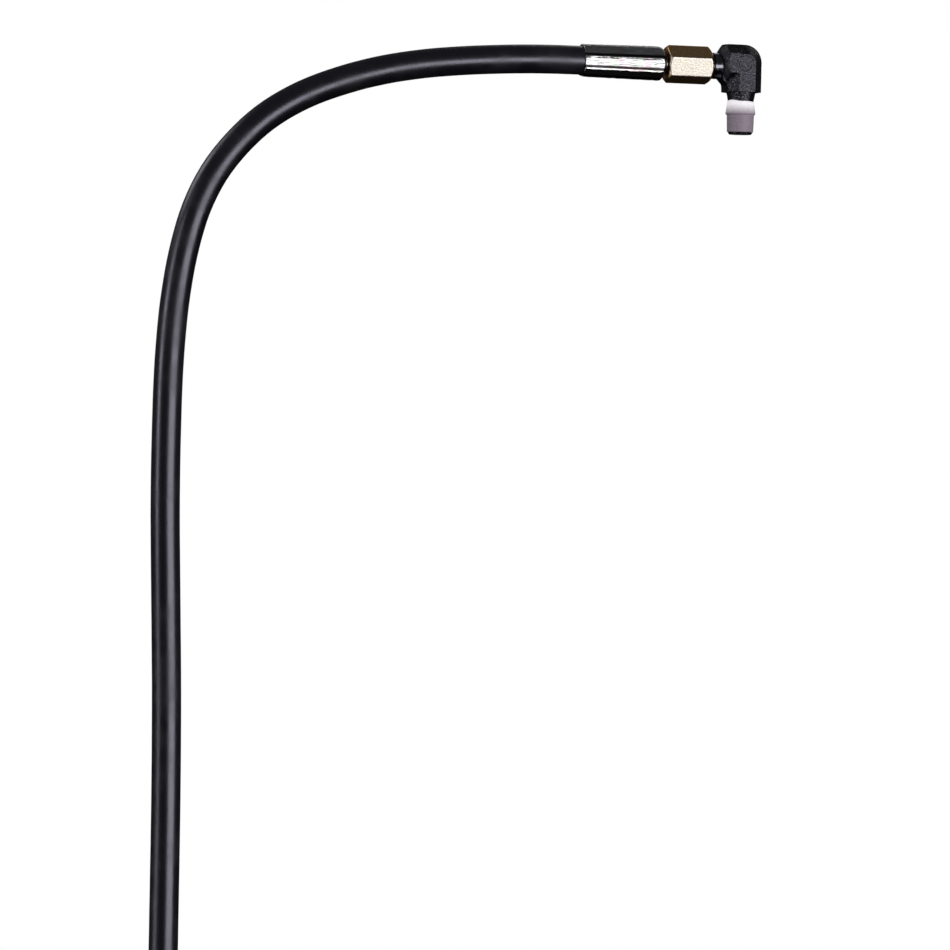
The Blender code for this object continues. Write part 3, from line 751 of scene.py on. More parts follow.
YELLOW_ZINC = zinc_material(
    "yellow_zinc", (0.52, 0.49, 0.43), 0.28,
    ((1.0, 0.93, 0.97), (1.0, 1.0, 0.90), (0.98, 0.98, 1.0)), 0.5, 260.0, (0.62, 0.38, 0.17),
)[0]
BRIGHT_ZINC = zinc_material(
    "bright_zinc", (0.60, 0.60, 0.61), 0.17,
    ((1.0, 0.86, 0.95), (0.87, 1.0, 0.88), (0.92, 0.94, 1.0)), 0.1, 150.0,
)[0]
SPRING_STEEL = zinc_material(
    "spring_steel", (0.46, 0.46, 0.47), 0.26,
    ((1.0, 0.97, 0.93), (0.95, 0.97, 1.0), (0.9, 0.9, 0.92)), 0.1, 300.0,
)[0]
CRIMPED_ZINC = crimped_zinc_material()
print("plates", [plate.name for plate in (YELLOW_ZINC, BRIGHT_ZINC, SPRING_STEEL, CRIMPED_ZINC)])

# %% [markdown]
# ### Thread tape
#
# Thin white tape lets light through and scatters it, so it looks brighter than white paint would. A
# little scattering under the surface and a weak painted glow stand in for that. The glow and the
# white fade towards the port, and the darkening there is painted shade.

# %% Thread tape


def tape_material():
    """Thin white thread tape: soft, with painted lilac shade in its folds, painted shade towards the
    port and a painted glow.
    """
    material, tree, shader, place = new_material("thread_tape", (0.90, 0.88, 0.92), 0.5, 0.0)
    creases = noise_value(tree, stretched(tree, place, (1.0, 1.0, 2.6)), 420.0, 5.0, 0.6)
    grain = use_group(tree, FINE_GRAIN, place, Scale=1300.0)
    # The creases are painted a shaded lilac: painted shade.
    crease_shade = remap(tree, creases, 0.42, 0.66)
    white_with_crease_shade = mix_colour(tree, crease_shade, (0.95, 0.93, 0.96), (0.86, 0.79, 0.88))
    height = parts_of(tree, place)["Z"]
    # The colour darkens towards the port: painted shade.
    port_shade = remap(tree, height, 4.5 * MM, 0.0, 0.0, 0.95)
    paint(
        tree,
        shader,
        Base_Color=mix_colour(tree, port_shade, white_with_crease_shade, (0.52, 0.42, 0.52)),
        Emission_Color=white_with_crease_shade,
        # The emission is a painted glow, fading towards the port.
        Emission_Strength=remap(tree, height, 0.0, 5.5 * MM, 0.0, 0.62),
        Subsurface_Weight=0.2,
        Subsurface_Radius=(0.8 * MM, 0.6 * MM, 0.8 * MM),
        Subsurface_Scale=1.0,
    )
    first = bump(tree, shader, creases, 0.5, 0.18 * MM)
    bump(tree, shader, grain["Height"], 0.3, 0.05 * MM, first)
    return material


THREAD_TAPE = tape_material()
print("tape", THREAD_TAPE.name)

# %% [markdown]
# ### Wire braid
#
# The braid's strands cross like those of a basket. Two waves slant round the tube in opposite
# directions, and the higher of the two is the strand on top. The low places between strands are
# painted darker, as shade. The waves follow the UV map, so they stay on the tube round every bend.

# %% Wire braid
STRANDS = 36.0
STRAND_PITCH = 1150.0


def braid_material():
    """Brass-plated wire, laid in flat strands that cross at the braid's own angle."""
    material, tree, shader, _ = new_material("braid_wire", (0.66, 0.53, 0.3), 0.32, 1.0)
    uv = node(tree, "UVMap", uv_map="UVMap").outputs["UV"]
    heights = []
    for pitch in (STRAND_PITCH, -STRAND_PITCH):
        slant = vector_maths(tree, "DOT_PRODUCT", uv, (STRANDS, pitch, 0.0))["Value"]
        wave = maths(tree, "SINE", maths(tree, "MULTIPLY", slant, math.tau))
        heights.append(maths(tree, "ABSOLUTE", wave))
    weave_height_and_gap_shade = maths(tree, "MAXIMUM", *heights)
    # The low places of the weave, between the strands, are painted darker: painted shade.
    paint(tree, shader, Base_Color=mix_colour(tree, weave_height_and_gap_shade, (0.2, 0.15, 0.08), (0.74, 0.6, 0.36)))
    bump(tree, shader, weave_height_and_gap_shade, 0.8, 0.15 * MM)
    return material


BRAID_WIRE = braid_material()
print("materials", [material.name for material in bpy.data.materials])

# %% [markdown]
# ## Dressing the hose
#
# Under the cover lie four more layers. They can only be seen if the hose is cut or taken out
# of its ferrules, but they are real pieces and are made like the cover: tubes along the same
# line, one inside the other. The cover stops inside the ferrules' mouths, and the rest run on
# to the stem's shoulder, where the crimp bites.

# %% Hose layers
dress(hose_cover, COVER_RUBBER, "hose", "hose_cover")

CORE_LAYERS = (
    ("hose_inner_tube", 3.2 * MM, 4.6 * MM, TUBE_RUBBER, "rubber_tube"),
    ("hose_inner_braid", 4.75 * MM, 5.2 * MM, BRAID_WIRE, "braid_wire"),
    ("hose_friction_layer", 5.35 * MM, 5.65 * MM, TUBE_RUBBER, "rubber_tube"),
    ("hose_outer_braid", 5.8 * MM, 6.35 * MM, BRAID_WIRE, "braid_wire"),
)
core_length, core_line = measured_line(hose_points(HOSE_CORE_STATION))
for layer, inner, outer, finish, slot in CORE_LAYERS:
    tube = rolled(layer + "_wall", tube_rows(inner, outer, core_length), 40, core_line)
    dress(tube, finish, "hose", layer)
print("core length", round(core_length, 4), "m")

# %% [markdown]
# ## Rules that shape a turned piece
#
# A hexagon is the least of six flat distances in any direction. Taking the least of that and
# the turned outline's radius cuts the nut's round chamfers into its flats, as a lathe does,
# and a soft least leaves a small rounded edge. A thread is a ramp that climbs one pitch in a
# turn: its phase says how deep in the groove a point lies.

# %% Shaping rules
UNF_PITCH = 25.4 * MM / 18
UNF_DEPTH = 0.85 * MM
UNF_BORE_DEPTH = 0.78 * MM
UNF_CREST = 7.145 * MM
NPT_PITCH = 25.4 * MM / 18
NPT_DEPTH = 0.72 * MM
BSP_PITCH = 25.4 * MM / 19
BSP_DEPTH = 0.78 * MM
HEXAGON_EDGE = 0.35 * MM
LATHE_EDGE = 0.2 * MM


def soft_least(first, second, edge):
    """The lesser of two lengths, with the corner between them rounded."""
    blend = max(edge - abs(first - second), 0.0) / edge
    return min(first, second) - blend * blend * edge / 4


def flats_radius(angle, sides, across, clock, edge):
    """How far out a regular prism's surface is in one direction."""
    sector = math.tau / sides
    turn = (angle - clock + sector / 2) % sector - sector / 2
    nearest = across / 2 / math.cos(turn)
    beside = across / 2 / math.cos(sector - abs(turn))
    return soft_least(nearest, beside, edge)


def hexagon(radius, angle, across, clock):
    """A turned radius, cut back to a hexagon's flats where they lie nearer."""
    flats = flats_radius(angle, 6, across, clock, HEXAGON_EDGE)
    return soft_least(radius, flats, LATHE_EDGE)


def smooth_step(value, low, high):
    share = min(max((value - low) / (high - low), 0.0), 1.0)
    return share * share * (3 - 2 * share)


def groove_share(station, angle, pitch, start, end):
    """0 on a right-hand thread's crest and 1 in its root, fading out past the ends."""
    phase = (station / pitch - angle / math.tau) % 1.0
    ramp = 1.0 - abs(phase - 0.5) * 2
    depth = min(max(ramp * 1.4 - 0.2, 0.0), 1.0)
    fade_in = smooth_step(station, start - 0.2 * pitch, start + 0.8 * pitch)
    fade_out = smooth_step(station, end + 0.2 * pitch, end - 0.8 * pitch)
    return depth * fade_in * fade_out


print("threads", round(UNF_PITCH / MM, 3), "and", round(BSP_PITCH / MM, 3), "mm a turn")

# %% [markdown]
# ## The swivel nut
#
# A long hexagon nut, 17.46 mm across its flats. Its elbow end has a wide chamfer and its hose
# end a smaller one. The whole nut is one rolled ring: the outline goes up the outside and back
# down the bore, through the groove for the lock wire, the shoulder that pulls on the stem and
# the thread.

# %% Nut
NUT_ACROSS = 17.46 * MM
NUT_CLOCK = math.radians(19.0)
NUT_OUTLINE_MM = (
    (7.5, 5.0),
    (10.2, 7.1),
    (10.2, 28.2),
    (8.3, 29.6),
    (5.2, 29.6),
    (5.2, 24.7),
    (5.95, 24.7),
    (5.95, 22.9),
    (5.2, 22.9),
    (5.2, 21.3),
    (6.6, 19.9),
    (6.6, 13.2),
    (7.3, 12.5),
    (7.3, 5.3),
    (7.45, 5.0),
)
NUT_THREAD = (5.2 * MM, 12.4 * MM)
NUT_OUTSIDE = 7.38 * MM
NUT_BORE = 7.2 * MM


def nut_rule(radius, station, angle):
    """Cuts the hexagon on the outside and the thread in the bore."""
    if radius > NUT_OUTSIDE:
        return hexagon(radius, angle, NUT_ACROSS, NUT_CLOCK), station
    if radius > NUT_BORE:
        groove = groove_share(station, angle, UNF_PITCH, *NUT_THREAD)
        return radius - UNF_BORE_DEPTH * groove, station
    return radius, station


nut_rows = ring_rows(in_metres(NUT_OUTLINE_MM), 0.18 * MM, 0.24 * MM)
for end, matrix in ENDS:
    line = straight_line(matrix)
    nut = rolled(end + "_swivel_nut", nut_rows, 180, line, nut_rule, NUT_CLOCK)
    dress(nut, YELLOW_ZINC, end + "_nut", end + "_end_nut")

# %% [markdown]
# ## The stem and its lock wire
#
# The stem is the steel nipple inside the hose end. A 37 degree seat faces the fitting, the
# nut's shoulder pulls on its head, a groove takes the lock wire, and a narrow neck lets the
# ferrule's lip lock on. Saw-toothed barbs fill the hose's bore. The lock wire is an open ring:
# a circle of wire spun most of the way round and capped.

# %% Stem and lock wire
FLARE = math.radians(37.0)
SEAT_STATION = 12.6
BARBS = 8
BARB_SPACING = 4.0
WIRE_RADIUS = 0.6 * MM
WIRE_RING_RADIUS = 5.05 * MM
WIRE_STATION = 23.8 * MM
WIRE_HALF_GAP = math.radians(12.0)


def stem_outline():
    """Along the outside from the seat to the last barb, and back through the drilling."""
    outline = [(6.3, SEAT_STATION), (6.3, 19.6), (4.9, 21.0), (4.9, 23.0), (4.2, 23.0)]
    outline += [(4.2, 24.6), (4.9, 24.6), (4.9, 29.9), (5.6, 30.0), (5.6, 30.5), (4.2, 30.5)]
    outline += [(4.2, 33.4), (5.2, 33.4), (5.2, 35.6), (2.6, 36.1)]
    for barb in range(BARBS):
        shift = BARB_SPACING * barb
        outline += [(2.8, 38.0 + shift), (2.55, 41.2 + shift)]
    seat_end = SEAT_STATION + 4.0 / math.tan(FLARE)
    outline += [(2.6, 71.0), (2.0, 71.0), (2.0, seat_end), (6.0, SEAT_STATION)]
    return in_metres(outline)


def lock_wire(name, matrix):
    """Spins a ring of wire section round the fitting and closes its two ends."""
    shape = bmesh.new()
    bmesh.ops.create_circle(shape, cap_ends=True, segments=14, radius=WIRE_RADIUS)
    stand = Matrix.Rotation(math.radians(90.0), 4, "X")
    place = Matrix.Translation((WIRE_RING_RADIUS, 0.0, WIRE_STATION))
    bmesh.ops.transform(shape, matrix=place @ stand, verts=shape.verts)
    turn = Matrix.Rotation(WIRE_HALF_GAP, 3, "Z")
    bmesh.ops.rotate(shape, cent=(0, 0, 0), matrix=turn, verts=shape.verts)
    bmesh.ops.spin(
        shape,
        geom=shape.faces[:],
        axis=(0, 0, 1),
        cent=(0, 0, 0),
        angle=math.tau - 2 * WIRE_HALF_GAP,
        steps=72,
        use_duplicate=False,
    )
    bmesh.ops.recalc_face_normals(shape, faces=shape.faces)
    bmesh.ops.transform(shape, matrix=matrix, verts=shape.verts)
    return add_piece(name, shape)


stem_rows = ring_rows(stem_outline(), 0.14 * MM, 1.2 * MM)
for end, matrix in ENDS:
    stem = rolled(end + "_stem_nipple", stem_rows, 96, straight_line(matrix))
    dress(stem, BRIGHT_ZINC, "hose", end + "_end_stem")
    wire = lock_wire(end + "_lock_ring", matrix)
    dress(wire, SPRING_STEEL, end + "_swivel", end + "_end_lock_wire")

# %% [markdown]
# ## The crimped ferrule
#
# The sleeve starts round, and eight dies press it down on the hose. Each die leaves a flat,
# and a little metal is squeezed up between neighbouring dies as a thin wavy ridge. The dies
# close harder at the hose end, so the sleeve tapers slightly.

# %% Ferrule
FERRULE_FRONT_ACROSS = 17.1 * MM
FERRULE_REAR_ACROSS = 16.05 * MM
FERRULE_BORE = 7.75 * MM
FERRULE_LIP_END = 33.5 * MM
FLAT_ENDS = (33.4 * MM, 35.0 * MM, 74.8 * MM, 75.6 * MM)
RIDGE_HEIGHT = 0.24 * MM
RIDGE_WIDTH = math.radians(2.4)
RIDGE_WANDER = math.radians(2.0)
DISH_DEPTH = 0.05 * MM
FERRULE_OUTLINE_MM = (
    (6.8, 30.8),
    (9.25, 33.25),
    (8.75, 75.0),
    (8.2, 75.7),
    (7.7, 75.7),
    (7.7, 72.9),
    (6.65, 72.9),
    (6.65, 33.1),
    (4.5, 33.1),
    (4.5, 30.8),
)


def ferrule_rule(radius, station, angle):
    """Presses the eight flats and raises the ridges between them."""
    if radius < FERRULE_BORE and station > FERRULE_LIP_END:
        return radius, station
    share = (station - FERRULE_START) / (FERRULE_END - FERRULE_START)
    across = FERRULE_FRONT_ACROSS + (FERRULE_REAR_ACROSS - FERRULE_FRONT_ACROSS) * share
    flats = flats_radius(angle, DIES, across, FERRULE_CLOCK, 0.3 * MM)
    sector = math.tau / DIES
    index = math.floor((angle - FERRULE_CLOCK) / sector)
    wander = noise.noise(Vector((index * 7.3, station / (2.6 * MM), 0.0)))
    off_corner = (angle - FERRULE_CLOCK) % sector - sector / 2 + wander * RIDGE_WANDER
    front, full, fading, rear = FLAT_ENDS
    pressed = smooth_step(station, front, full) * smooth_step(station, rear, fading)
    ridge = RIDGE_HEIGHT * math.exp(-((off_corner / RIDGE_WIDTH) ** 2))
    ridge *= pressed * (0.8 + 0.5 * wander)
    dish = DISH_DEPTH * noise.noise(Vector((index * 3.1, station / (11 * MM), 4.0)))
    return soft_least(radius, flats + dish * pressed, 0.25 * MM) + ridge, station


sleeve_rows = ring_rows(in_metres(FERRULE_OUTLINE_MM), 0.25 * MM, 0.35 * MM, 3)
for end, matrix in ENDS:
    line = straight_line(matrix)
    sleeve = rolled(end + "_crimped_sleeve", sleeve_rows, 320, line, ferrule_rule)
    dress(sleeve, CRIMPED_ZINC, "hose", end + "_end_ferrule")

# %% [markdown]
# ## The forged elbow
#
# The forging is a short, fat L with broad chamfers. It is drawn as an outline in the elbow's
# own plane, extruded across, and its long edges are bevelled. The edges round the two end
# faces are left alone, because a lathe shapes those later.

# %% Elbow block
ELBOW_ACROSS = 19.9 * MM
BRANCH_HALF_WIDTH = 9.4 * MM
ELBOW_CHAMFER = 4.85 * MM
ELBOW_SHOULDER = 9.3 * MM
FORGING_CENTRE_Z = 26.2 * MM
BRANCH_FACE_Z = 11.35 * MM


def slab(outline, half_width):
    """An outline in the XZ plane, extruded along Y to a closed block."""
    shape = bmesh.new()
    verts = [shape.verts.new((x, -half_width, z)) for x, z in outline]
    face = shape.faces.new(verts)
    wall = bmesh.ops.extrude_face_region(shape, geom=[face])
    moved = [item for item in wall["geom"] if isinstance(item, bmesh.types.BMVert)]
    bmesh.ops.translate(shape, vec=(0.0, 2 * half_width, 0.0), verts=moved)
    bmesh.ops.recalc_face_normals(shape, faces=shape.faces)
    return shape


def block_outline():
    top = FORGING_CENTRE_Z + ELBOW_ACROSS / 2
    arm_bottom = FORGING_CENTRE_Z - ELBOW_ACROSS / 2
    side = BRANCH_HALF_WIDTH
    outline = [(RUN_FACE_X, arm_bottom), (RUN_FACE_X, top)]
    steps = 12
    for step in range(steps + 1):
        angle = math.radians(90.0 * (1 - step / steps))
        x = side - ELBOW_SHOULDER + ELBOW_SHOULDER * math.cos(angle)
        z = top - ELBOW_SHOULDER + ELBOW_SHOULDER * math.sin(angle)
        outline.append((x, z))
    return outline + [(side, BRANCH_FACE_Z), (-side, BRANCH_FACE_Z), (-side, arm_bottom)]


def chamfered_block():
    """The block with its long edges cut back, but not the edges round its two end faces."""
    shape = slab(block_outline(), ELBOW_ACROSS / 2)
    edges = []
    for edge in shape.edges:
        a, b = (vert.co for vert in edge.verts)
        lies_in_side = abs(a.y - b.y) < MM
        on_run_face = max(a.x, b.x) < RUN_FACE_X + 0.1 * MM
        on_branch_face = max(a.z, b.z) < BRANCH_FACE_Z + 0.1 * MM
        if lies_in_side and not on_run_face and not on_branch_face:
            edges.append(edge)
    bmesh.ops.bevel(
        shape,
        geom=edges,
        offset=ELBOW_CHAMFER,
        offset_type="OFFSET",
        segments=1,
        profile=0.5,
        affect="EDGES",
        material=-1,
        clamp_overlap=False,
    )
    return shape


block = new_object("forged_block", chamfered_block())
print("block", len(block.data.vertices), "corners")

# %% [markdown]
# ### Joining, cutting and an even skin
#
# A Boolean joins or cuts two closed solids. The run face is turned to a cone by keeping only
# what lies inside a turned solid, and a web fills the inner corner. A voxel remesh then gives
# the block an even skin, which is smoothed so that no edge is sharp, and pushed in and out a
# little by noise, as scale and die wear leave it.

# %% Forged body
SKIN_SIZE = 0.26 * MM
SMOOTHINGS = 4


def apply_modifiers(piece):
    """Works the piece's modifiers into its mesh."""
    bpy.context.view_layer.update()
    graph = bpy.context.evaluated_depsgraph_get()
    mesh = bpy.data.meshes.new_from_object(piece.evaluated_get(graph))
    piece.modifiers.clear()
    piece.data = mesh


def combine(piece, other, operation):
    """Applies a Boolean and removes the other object."""
    modifier = piece.modifiers.new(operation.lower(), "BOOLEAN")
    modifier.solver = "EXACT"
    modifier.operation = operation
    modifier.object = other
    apply_modifiers(piece)
    bpy.data.objects.remove(other, do_unlink=True)


def turned_solid(name, outline, around, matrix, rule=None):
    """A solid of revolution whose outline starts and ends on its line."""
    rows = [Vector((0.0, outline[0][1])), *outline, Vector((0.0, outline[-1][1]))]
    made = rolled(name, rows, around, straight_line(matrix), rule)
    shape = bmesh.new()
    shape.from_mesh(made.data)
    bmesh.ops.remove_doubles(shape, verts=shape.verts, dist=1e-6)
    bmesh.ops.dissolve_degenerate(shape, dist=SEAM_GAP, edges=shape.edges)
    bmesh.ops.recalc_face_normals(shape, faces=shape.faces)
    shape.to_mesh(made.data)
    shape.free()
    return made


def turn_face_and_add_web(block):
    """Turns the run face to a cone and fills the inner corner."""
    cone = [(6.9, -0.1), (11.4, 3.37), (30.0, 3.4), (30.0, 40.0)]
    stand = Matrix.Rotation(math.radians(90.0), 4, "Y")
    face = Matrix.Translation((RUN_FACE_X, 0.0, FORGING_CENTRE_Z)) @ stand
    combine(block, turned_solid("face_cone", in_metres(cone), 96, face), "INTERSECT")
    inner_x = -BRANCH_HALF_WIDTH + 2 * MM
    face_x = RUN_FACE_X + 0.4 * MM
    web = [
        (face_x, 20.0 * MM),
        (inner_x, 20.0 * MM),
        (inner_x, BRANCH_FACE_Z),
        (-9.0 * MM, BRANCH_FACE_Z),
        (-9.5 * MM, 15.2 * MM),
        (face_x, 18.05 * MM),
    ]
    combine(block, new_object("web", slab(web, 5.0 * MM)), "UNION")


def wear(vert):
    """How far scale, pits and the die's ring mark push a point of the skin out."""
    broad = noise.noise(vert.co / (3.2 * MM)) * 0.07 * MM
    pitted = noise.noise(vert.co / (0.9 * MM)) * 0.035 * MM
    off_mark = vert.co - FORGING_MARK
    off_ring = (math.hypot(off_mark.x, off_mark.z) - MARK_RADIUS) / (0.4 * MM)
    on_side = abs(vert.normal.y) > 0.9
    return broad + pitted + (0.2 * MM * math.exp(-(off_ring**2)) if on_side else 0.0)


def give_skin(block):
    """An even skin with soft edges, small hollows and the die's ring mark on both sides."""
    remesh = block.modifiers.new("even_skin", "REMESH")
    remesh.mode = "VOXEL"
    remesh.voxel_size = SKIN_SIZE
    apply_modifiers(block)
    shape = bmesh.new()
    shape.from_mesh(block.data)
    every_way = {"use_axis_x": True, "use_axis_y": True, "use_axis_z": True}
    for _ in range(SMOOTHINGS):
        bmesh.ops.smooth_vert(shape, verts=shape.verts, factor=0.5, **every_way)
    shape.normal_update()
    for vert in shape.verts:
        vert.co += vert.normal * wear(vert)
    shape.to_mesh(block.data)
    shape.free()


turn_face_and_add_web(block)
give_skin(block)
print("skinned block", len(block.data.polygons), "faces")

# %% [markdown]
# ## The elbow's turned ends
#
# The run end carries the straight 9/16-18 thread and a 37 degree nose, which seals on the
# stem. The branch end carries the tapered pipe thread: its crests lean in by one part in
# sixteen of the diameter, and the cut fades out before the plain neck. Both ends are joined
# to the block, and the two drillings are then cut through all of it.

# %% Elbow ends
RUN_THREAD = (1.0 * MM, 14.0 * MM)
RUN_THREADED = (4.8 * MM, 11.9 * MM)
PORT_THREAD = (-10.2 * MM, 5.4 * MM)
PORT_WASHOUT = (6.2 * MM, 2.5 * MM)
PORT_END_FACE = 5.4 * MM
THREAD_ROW = 0.14 * MM
NOSE_RADIUS = 6.15 - (14.1 - 11.9) * math.tan(FLARE)
MALE_END_MM = (
    (6.85, 0.0),
    (6.85, 3.9),
    (6.2, 4.4),
    (6.2, 4.9),
    (7.145, 5.8),
    (7.145, 10.9),
    (6.15, 11.9),
    (NOSE_RADIUS, 14.1),
)


BRANCH_END_MM = (
    (5.7, -10.5),
    (6.55, -9.7),
    (6.95, 3.0),
    (6.66, 6.4),
    (6.8, 7.3),
    (7.6, 11.35),
    (7.6, 16.35),
)


def male_thread_rule(radius, station, angle):
    """Cuts the straight thread wherever the outline stands at the crest."""
    root = UNF_CREST - UNF_DEPTH
    if radius <= root or not RUN_THREADED[0] < station < RUN_THREADED[1]:
        return radius, station
    groove = groove_share(station, angle, UNF_PITCH, *RUN_THREAD)
    return max(root, radius - UNF_DEPTH * groove), station


def port_thread_rule(radius, station, angle):
    """Cuts the tapered pipe thread, which fades out towards the neck."""
    if station > PORT_THREAD[1] + NPT_PITCH or radius < PORT_END_FACE:
        return radius, station
    washed = smooth_step(station, *PORT_WASHOUT)
    groove = groove_share(station, angle, NPT_PITCH, *PORT_THREAD)
    return radius - NPT_DEPTH * groove * washed, station


for name, outline, matrix, rule in (
    ("run_end", [(6.85, -5.0), *MALE_END_MM], CYLINDER_END, male_thread_rule),
    ("branch_end", BRANCH_END_MM, PORT, port_thread_rule),
):
    rows = spaced(in_metres(outline), THREAD_ROW)
    combine(block, turned_solid(name, rows, 96, matrix, rule), "UNION")
for name, outline, matrix in (
    ("branch_drill", [(3.4, -11.5), (3.4, 26.5), (0.6, 28.5)], PORT),
    ("run_drill", [(0.6, -16.1), (3.3, -14.1), (3.3, 15.1)], CYLINDER_END),
):
    combine(block, turned_solid(name, in_metres(outline), 48, matrix), "DIFFERENCE")

block.name = "elbow_forging"
block.data.name = "elbow_forging"
block.data.shade_smooth()
block.data.set_sharp_from_angle(angle=math.radians(38.0))
print(block.name, len(block.data.polygons), "faces")
dress(block, FORGING, "elbow", "elbow_body")

# %% [markdown]
# ## Thread tape
#
# Four or five turns of thin tape are pulled tight over the pipe thread before it goes in. The
# port scrapes the tape back as the elbow is screwed down, so it bunches at the port's mouth.
# The ring is thin-walled: its inside lies on the crests, and its outside carries the print
# of the thread, the steps of the winding and small wrinkles. Its upper edge is not cut square.

# %% Tape
TAPE_OUTLINE_MM = (
    (6.68, -9.3),
    (6.85, -8.6),
    (7.08, -0.5),
    (7.78, 0.15),
    (7.62, 1.6),
    (7.3, 4.0),
    (7.05, 6.3),
    (6.92, 6.95),
    (6.8, 6.9),
    (6.84, 6.2),
    (6.98, 3.2),
    (6.9, 0.0),
    (6.6, -9.3),
)
TAPE_LEAD = 3.1 * MM
WRAPPED = (3.0 * MM, 6.9 * MM)
TAPE_END = -9.0 * MM


def tape_rule(radius, station, angle):
    """Winding steps, thread print, wrinkles, and an upper edge that wanders."""
    edge = 0.30 * math.sin(angle * 2 + 0.8) + 0.14 * math.sin(angle * 5 + 2.0)
    station += smooth_step(station, *WRAPPED) * MM * edge
    inner_wall = (6.98 if station > 0 else 6.93) * MM + min(station, 0.0) / 32
    if radius < inner_wall - 0.02 * MM or station < TAPE_END:
        return radius, station
    winding = (station / TAPE_LEAD - angle / math.tau) % 1.0
    print_depth = math.cos(math.tau * (station / NPT_PITCH - angle / math.tau))
    place = Vector((math.cos(angle) * 5, math.sin(angle) * 5, station / (0.7 * MM)))
    lift = 0.07 * winding + 0.035 * print_depth + 0.06 * noise.noise(place)
    return radius + lift * MM, station


tape_rows = ring_rows(in_metres(TAPE_OUTLINE_MM), 0.12 * MM, 0.16 * MM)
tape = rolled("wound_tape", tape_rows, 160, straight_line(PORT), tape_rule)
dress(tape, THREAD_TAPE, "elbow", "elbow_thread_tape")

# %% [markdown]
# ## The pump adapter and its washer
#
# The pump's end of the hose screws onto an adapter: the same male flare above, a hexagon in
# the middle, and below it a straight G1/4 stud. Under the hexagon sits a bonded washer, a
# steel ring with a rubber lip vulcanised into its hole.

# %% Adapter and washer
ADAPTER_ACROSS = 19.05 * MM
ADAPTER_CLOCK = math.radians(37.0)
FLARE_END_START = 1.5 * MM
HEXAGON_INSIDE = 8.0 * MM
STUD_THREAD = (-21.2 * MM, -11.9 * MM)
STUD_START = -11.5 * MM
STUD_WALL = 5.7 * MM
ADAPTER_OUTLINE_MM = (
    (5.6, -21.5),
    (6.58, -20.5),
    (6.58, -11.6),
    (5.9, -11.0),
    (5.9, -9.0),
    (9.42, -9.0),
    (11.1, -7.9),
    (11.1, -1.0),
    (9.42, 0.0),
    *MALE_END_MM,
    (3.3, 14.1),
    (3.3, 5.0),
    (3.0, 4.0),
    (3.0, -21.5),
)


def adapter_rule(radius, station, angle):
    """Cuts the hexagon, the stud's thread and the flare end's thread."""
    if station > FLARE_END_START:
        return male_thread_rule(radius, station, angle)
    if radius > HEXAGON_INSIDE:
        return hexagon(radius, angle, ADAPTER_ACROSS, ADAPTER_CLOCK), station
    if station < STUD_START and radius > STUD_WALL:
        groove = groove_share(station, angle, BSP_PITCH, *STUD_THREAD)
        return radius - BSP_DEPTH * groove, station
    return radius, station


pump_line = straight_line(PUMP_END)
adapter_rows = ring_rows(in_metres(ADAPTER_OUTLINE_MM), 0.16 * MM, 0.16 * MM)
adapter = rolled(
    "pump_flare_adapter", adapter_rows, 180, pump_line, adapter_rule, ADAPTER_CLOCK
)
dress(adapter, YELLOW_ZINC, "adapter", "pump_adapter")

RING_MM = ((10.28, -11.3), (10.28, -9.3), (8.7, -9.3), (8.7, -11.3))
LIP_MM = ((8.55, -11.2), (8.55, -9.4), (7.6, -9.4), (6.85, -10.0), (6.85, -10.6), (7.6, -11.2))
for name, corners, easing, finish, node_name, slot in (
    ("washer_steel_ring", RING_MM, 0.15 * MM, BRIGHT_ZINC, "pump_seal_ring", "bright_zinc"),
    ("washer_rubber_lip", LIP_MM, 0.25 * MM, TUBE_RUBBER, "pump_seal_lip", "rubber_tube"),
):
    ring = rolled(name, ring_rows(in_metres(corners), easing, 0.4 * MM, 4), 128, pump_line)
    dress(ring, finish, "adapter", node_name)

# %% [markdown]
# ## The hose
#
# The hose is a stiff cord of fixed length, hanging from its ferrule.

# %% [markdown]
# ## Light and floor
#
# Plated metal shows its lights, so they are placed by what the flats should mirror. One broad
# soft panel stands low, to the right of the camera, where the front flats look. The flats
# above and below look at the ceiling and the floor, which stay dim, so they go dark. Two
# small panels on the left touch the turned faces there, and two weak ones light the back. The
# room is white only to the camera, because a white room would wash the black pieces out.

# %% Lights and stage
FLOOR_Z = cad_box[0].z - 0.02
FLOOR_HALF_WIDTH = 60.0
AIM = Vector((-0.08, 0.0, 0.0))


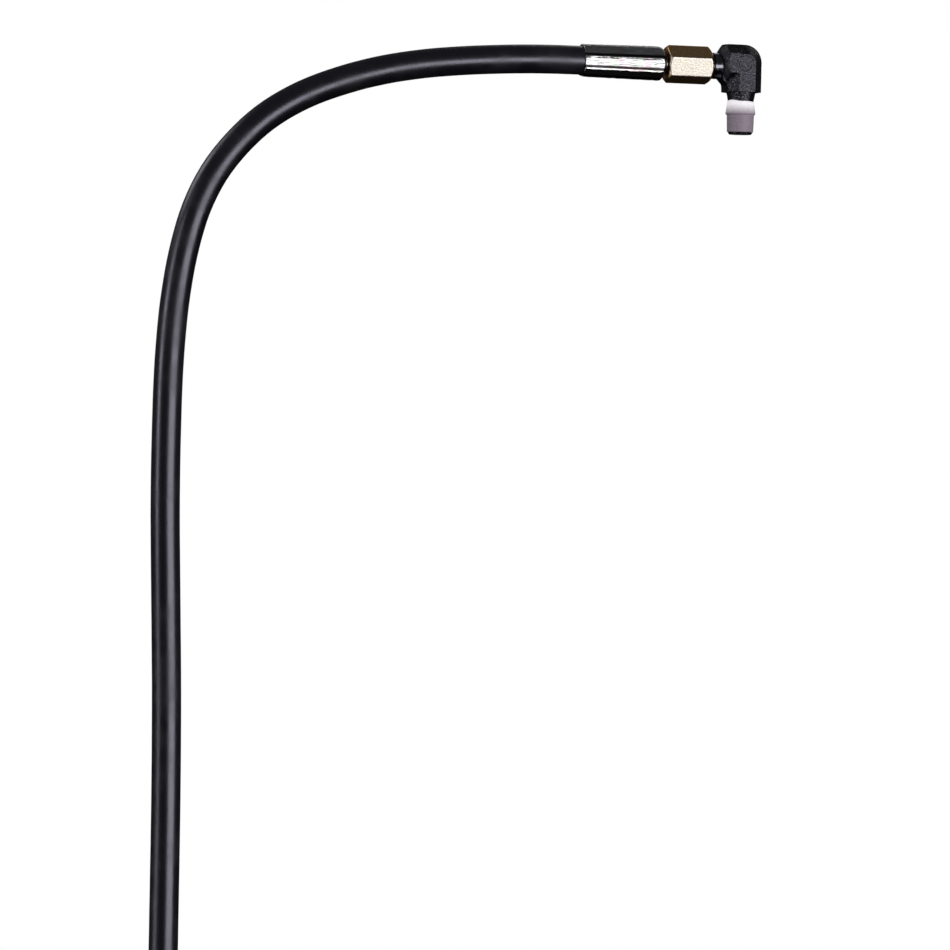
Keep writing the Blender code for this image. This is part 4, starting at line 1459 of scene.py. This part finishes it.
def add_panel(name, azimuth, elevation, distance, size, radiance):
    """A rectangular light that faces the fittings. Azimuth 0 is in front, 90 on the right."""
    turn = math.radians(azimuth)
    tilt = math.radians(elevation)
    level = math.cos(tilt)
    away = Vector((math.sin(turn) * level, -math.cos(turn) * level, math.sin(tilt)))
    data = bpy.data.lights.new(name, "AREA")
    data.shape = "RECTANGLE"
    data.size, data.size_y = size
    data.energy = radiance * math.pi * size[0] * size[1]
    light = bpy.data.objects.new(name, data)
    scene.collection.objects.link(light)
    light.location = AIM + away * distance
    light.rotation_euler = away.to_track_quat("Z", "Y").to_euler()
    light.visible_camera = False


def show_to_camera(tree, seen, lit, output):
    """One shader for the camera's own rays, and another for the light that reaches the pieces."""
    choice = node(tree, "MixShader")
    feed(tree, node(tree, "LightPath").outputs["Is Camera Ray"], choice.inputs[0])
    feed(tree, lit.outputs[0], choice.inputs[1])
    feed(tree, seen.outputs[0], choice.inputs[2])
    feed(tree, choice.outputs[0], tree.nodes[output].inputs["Surface"])


def add_world():
    """White to the camera, dim to everything else."""
    world = bpy.data.worlds.new("studio")
    scene.world = world
    world.use_nodes = True
    tree = world.node_tree
    dim = fed(tree, tree.nodes["Background"], ((0.93, 0.95, 1.0), 0.07))
    white = fed(tree, node(tree, "Background"), ((1.0, 1.0, 1.0), 1.0))
    show_to_camera(tree, white, dim, "World Output")


def add_floor():
    """A wide plain floor, pale to the camera and dim to the fittings above it."""
    shape = bmesh.new()
    bmesh.ops.create_grid(shape, x_segments=1, y_segments=1, size=FLOOR_HALF_WIDTH)
    bmesh.ops.translate(shape, vec=(0.0, 0.0, FLOOR_Z), verts=shape.verts)
    floor = new_object("studio_floor", shape)
    material = bpy.data.materials.new("pale_floor")
    material.use_nodes = True
    tree = material.node_tree
    tree.nodes.remove(tree.nodes["Principled BSDF"])
    matt = fed(tree, node(tree, "BsdfDiffuse"), ((0.02, 0.02, 0.02),))
    glow = fed(tree, node(tree, "Emission"), ((1.0, 1.0, 1.0), 1.0))
    show_to_camera(tree, glow, matt, "Material Output")
    floor.data.materials.append(material)


add_world()
add_floor()
add_panel("front_panel", 22.0, -13.0, 2.6, (2.4, 1.7), 4.0)
add_panel("left_panel", -84.0, 4.0, 2.4, (0.6, 1.0), 4.0)
add_panel("low_left_panel", -96.0, -33.0, 1.25, (0.3, 0.25), 6.0)
add_panel("back_panel_right", 140.0, 32.0, 3.0, (1.6, 1.2), 1.8)
add_panel("back_panel_left", 232.0, 32.0, 3.0, (1.6, 1.2), 1.8)
scene.view_settings.view_transform = "Standard"
print("lights", [light.name for light in bpy.data.lights])
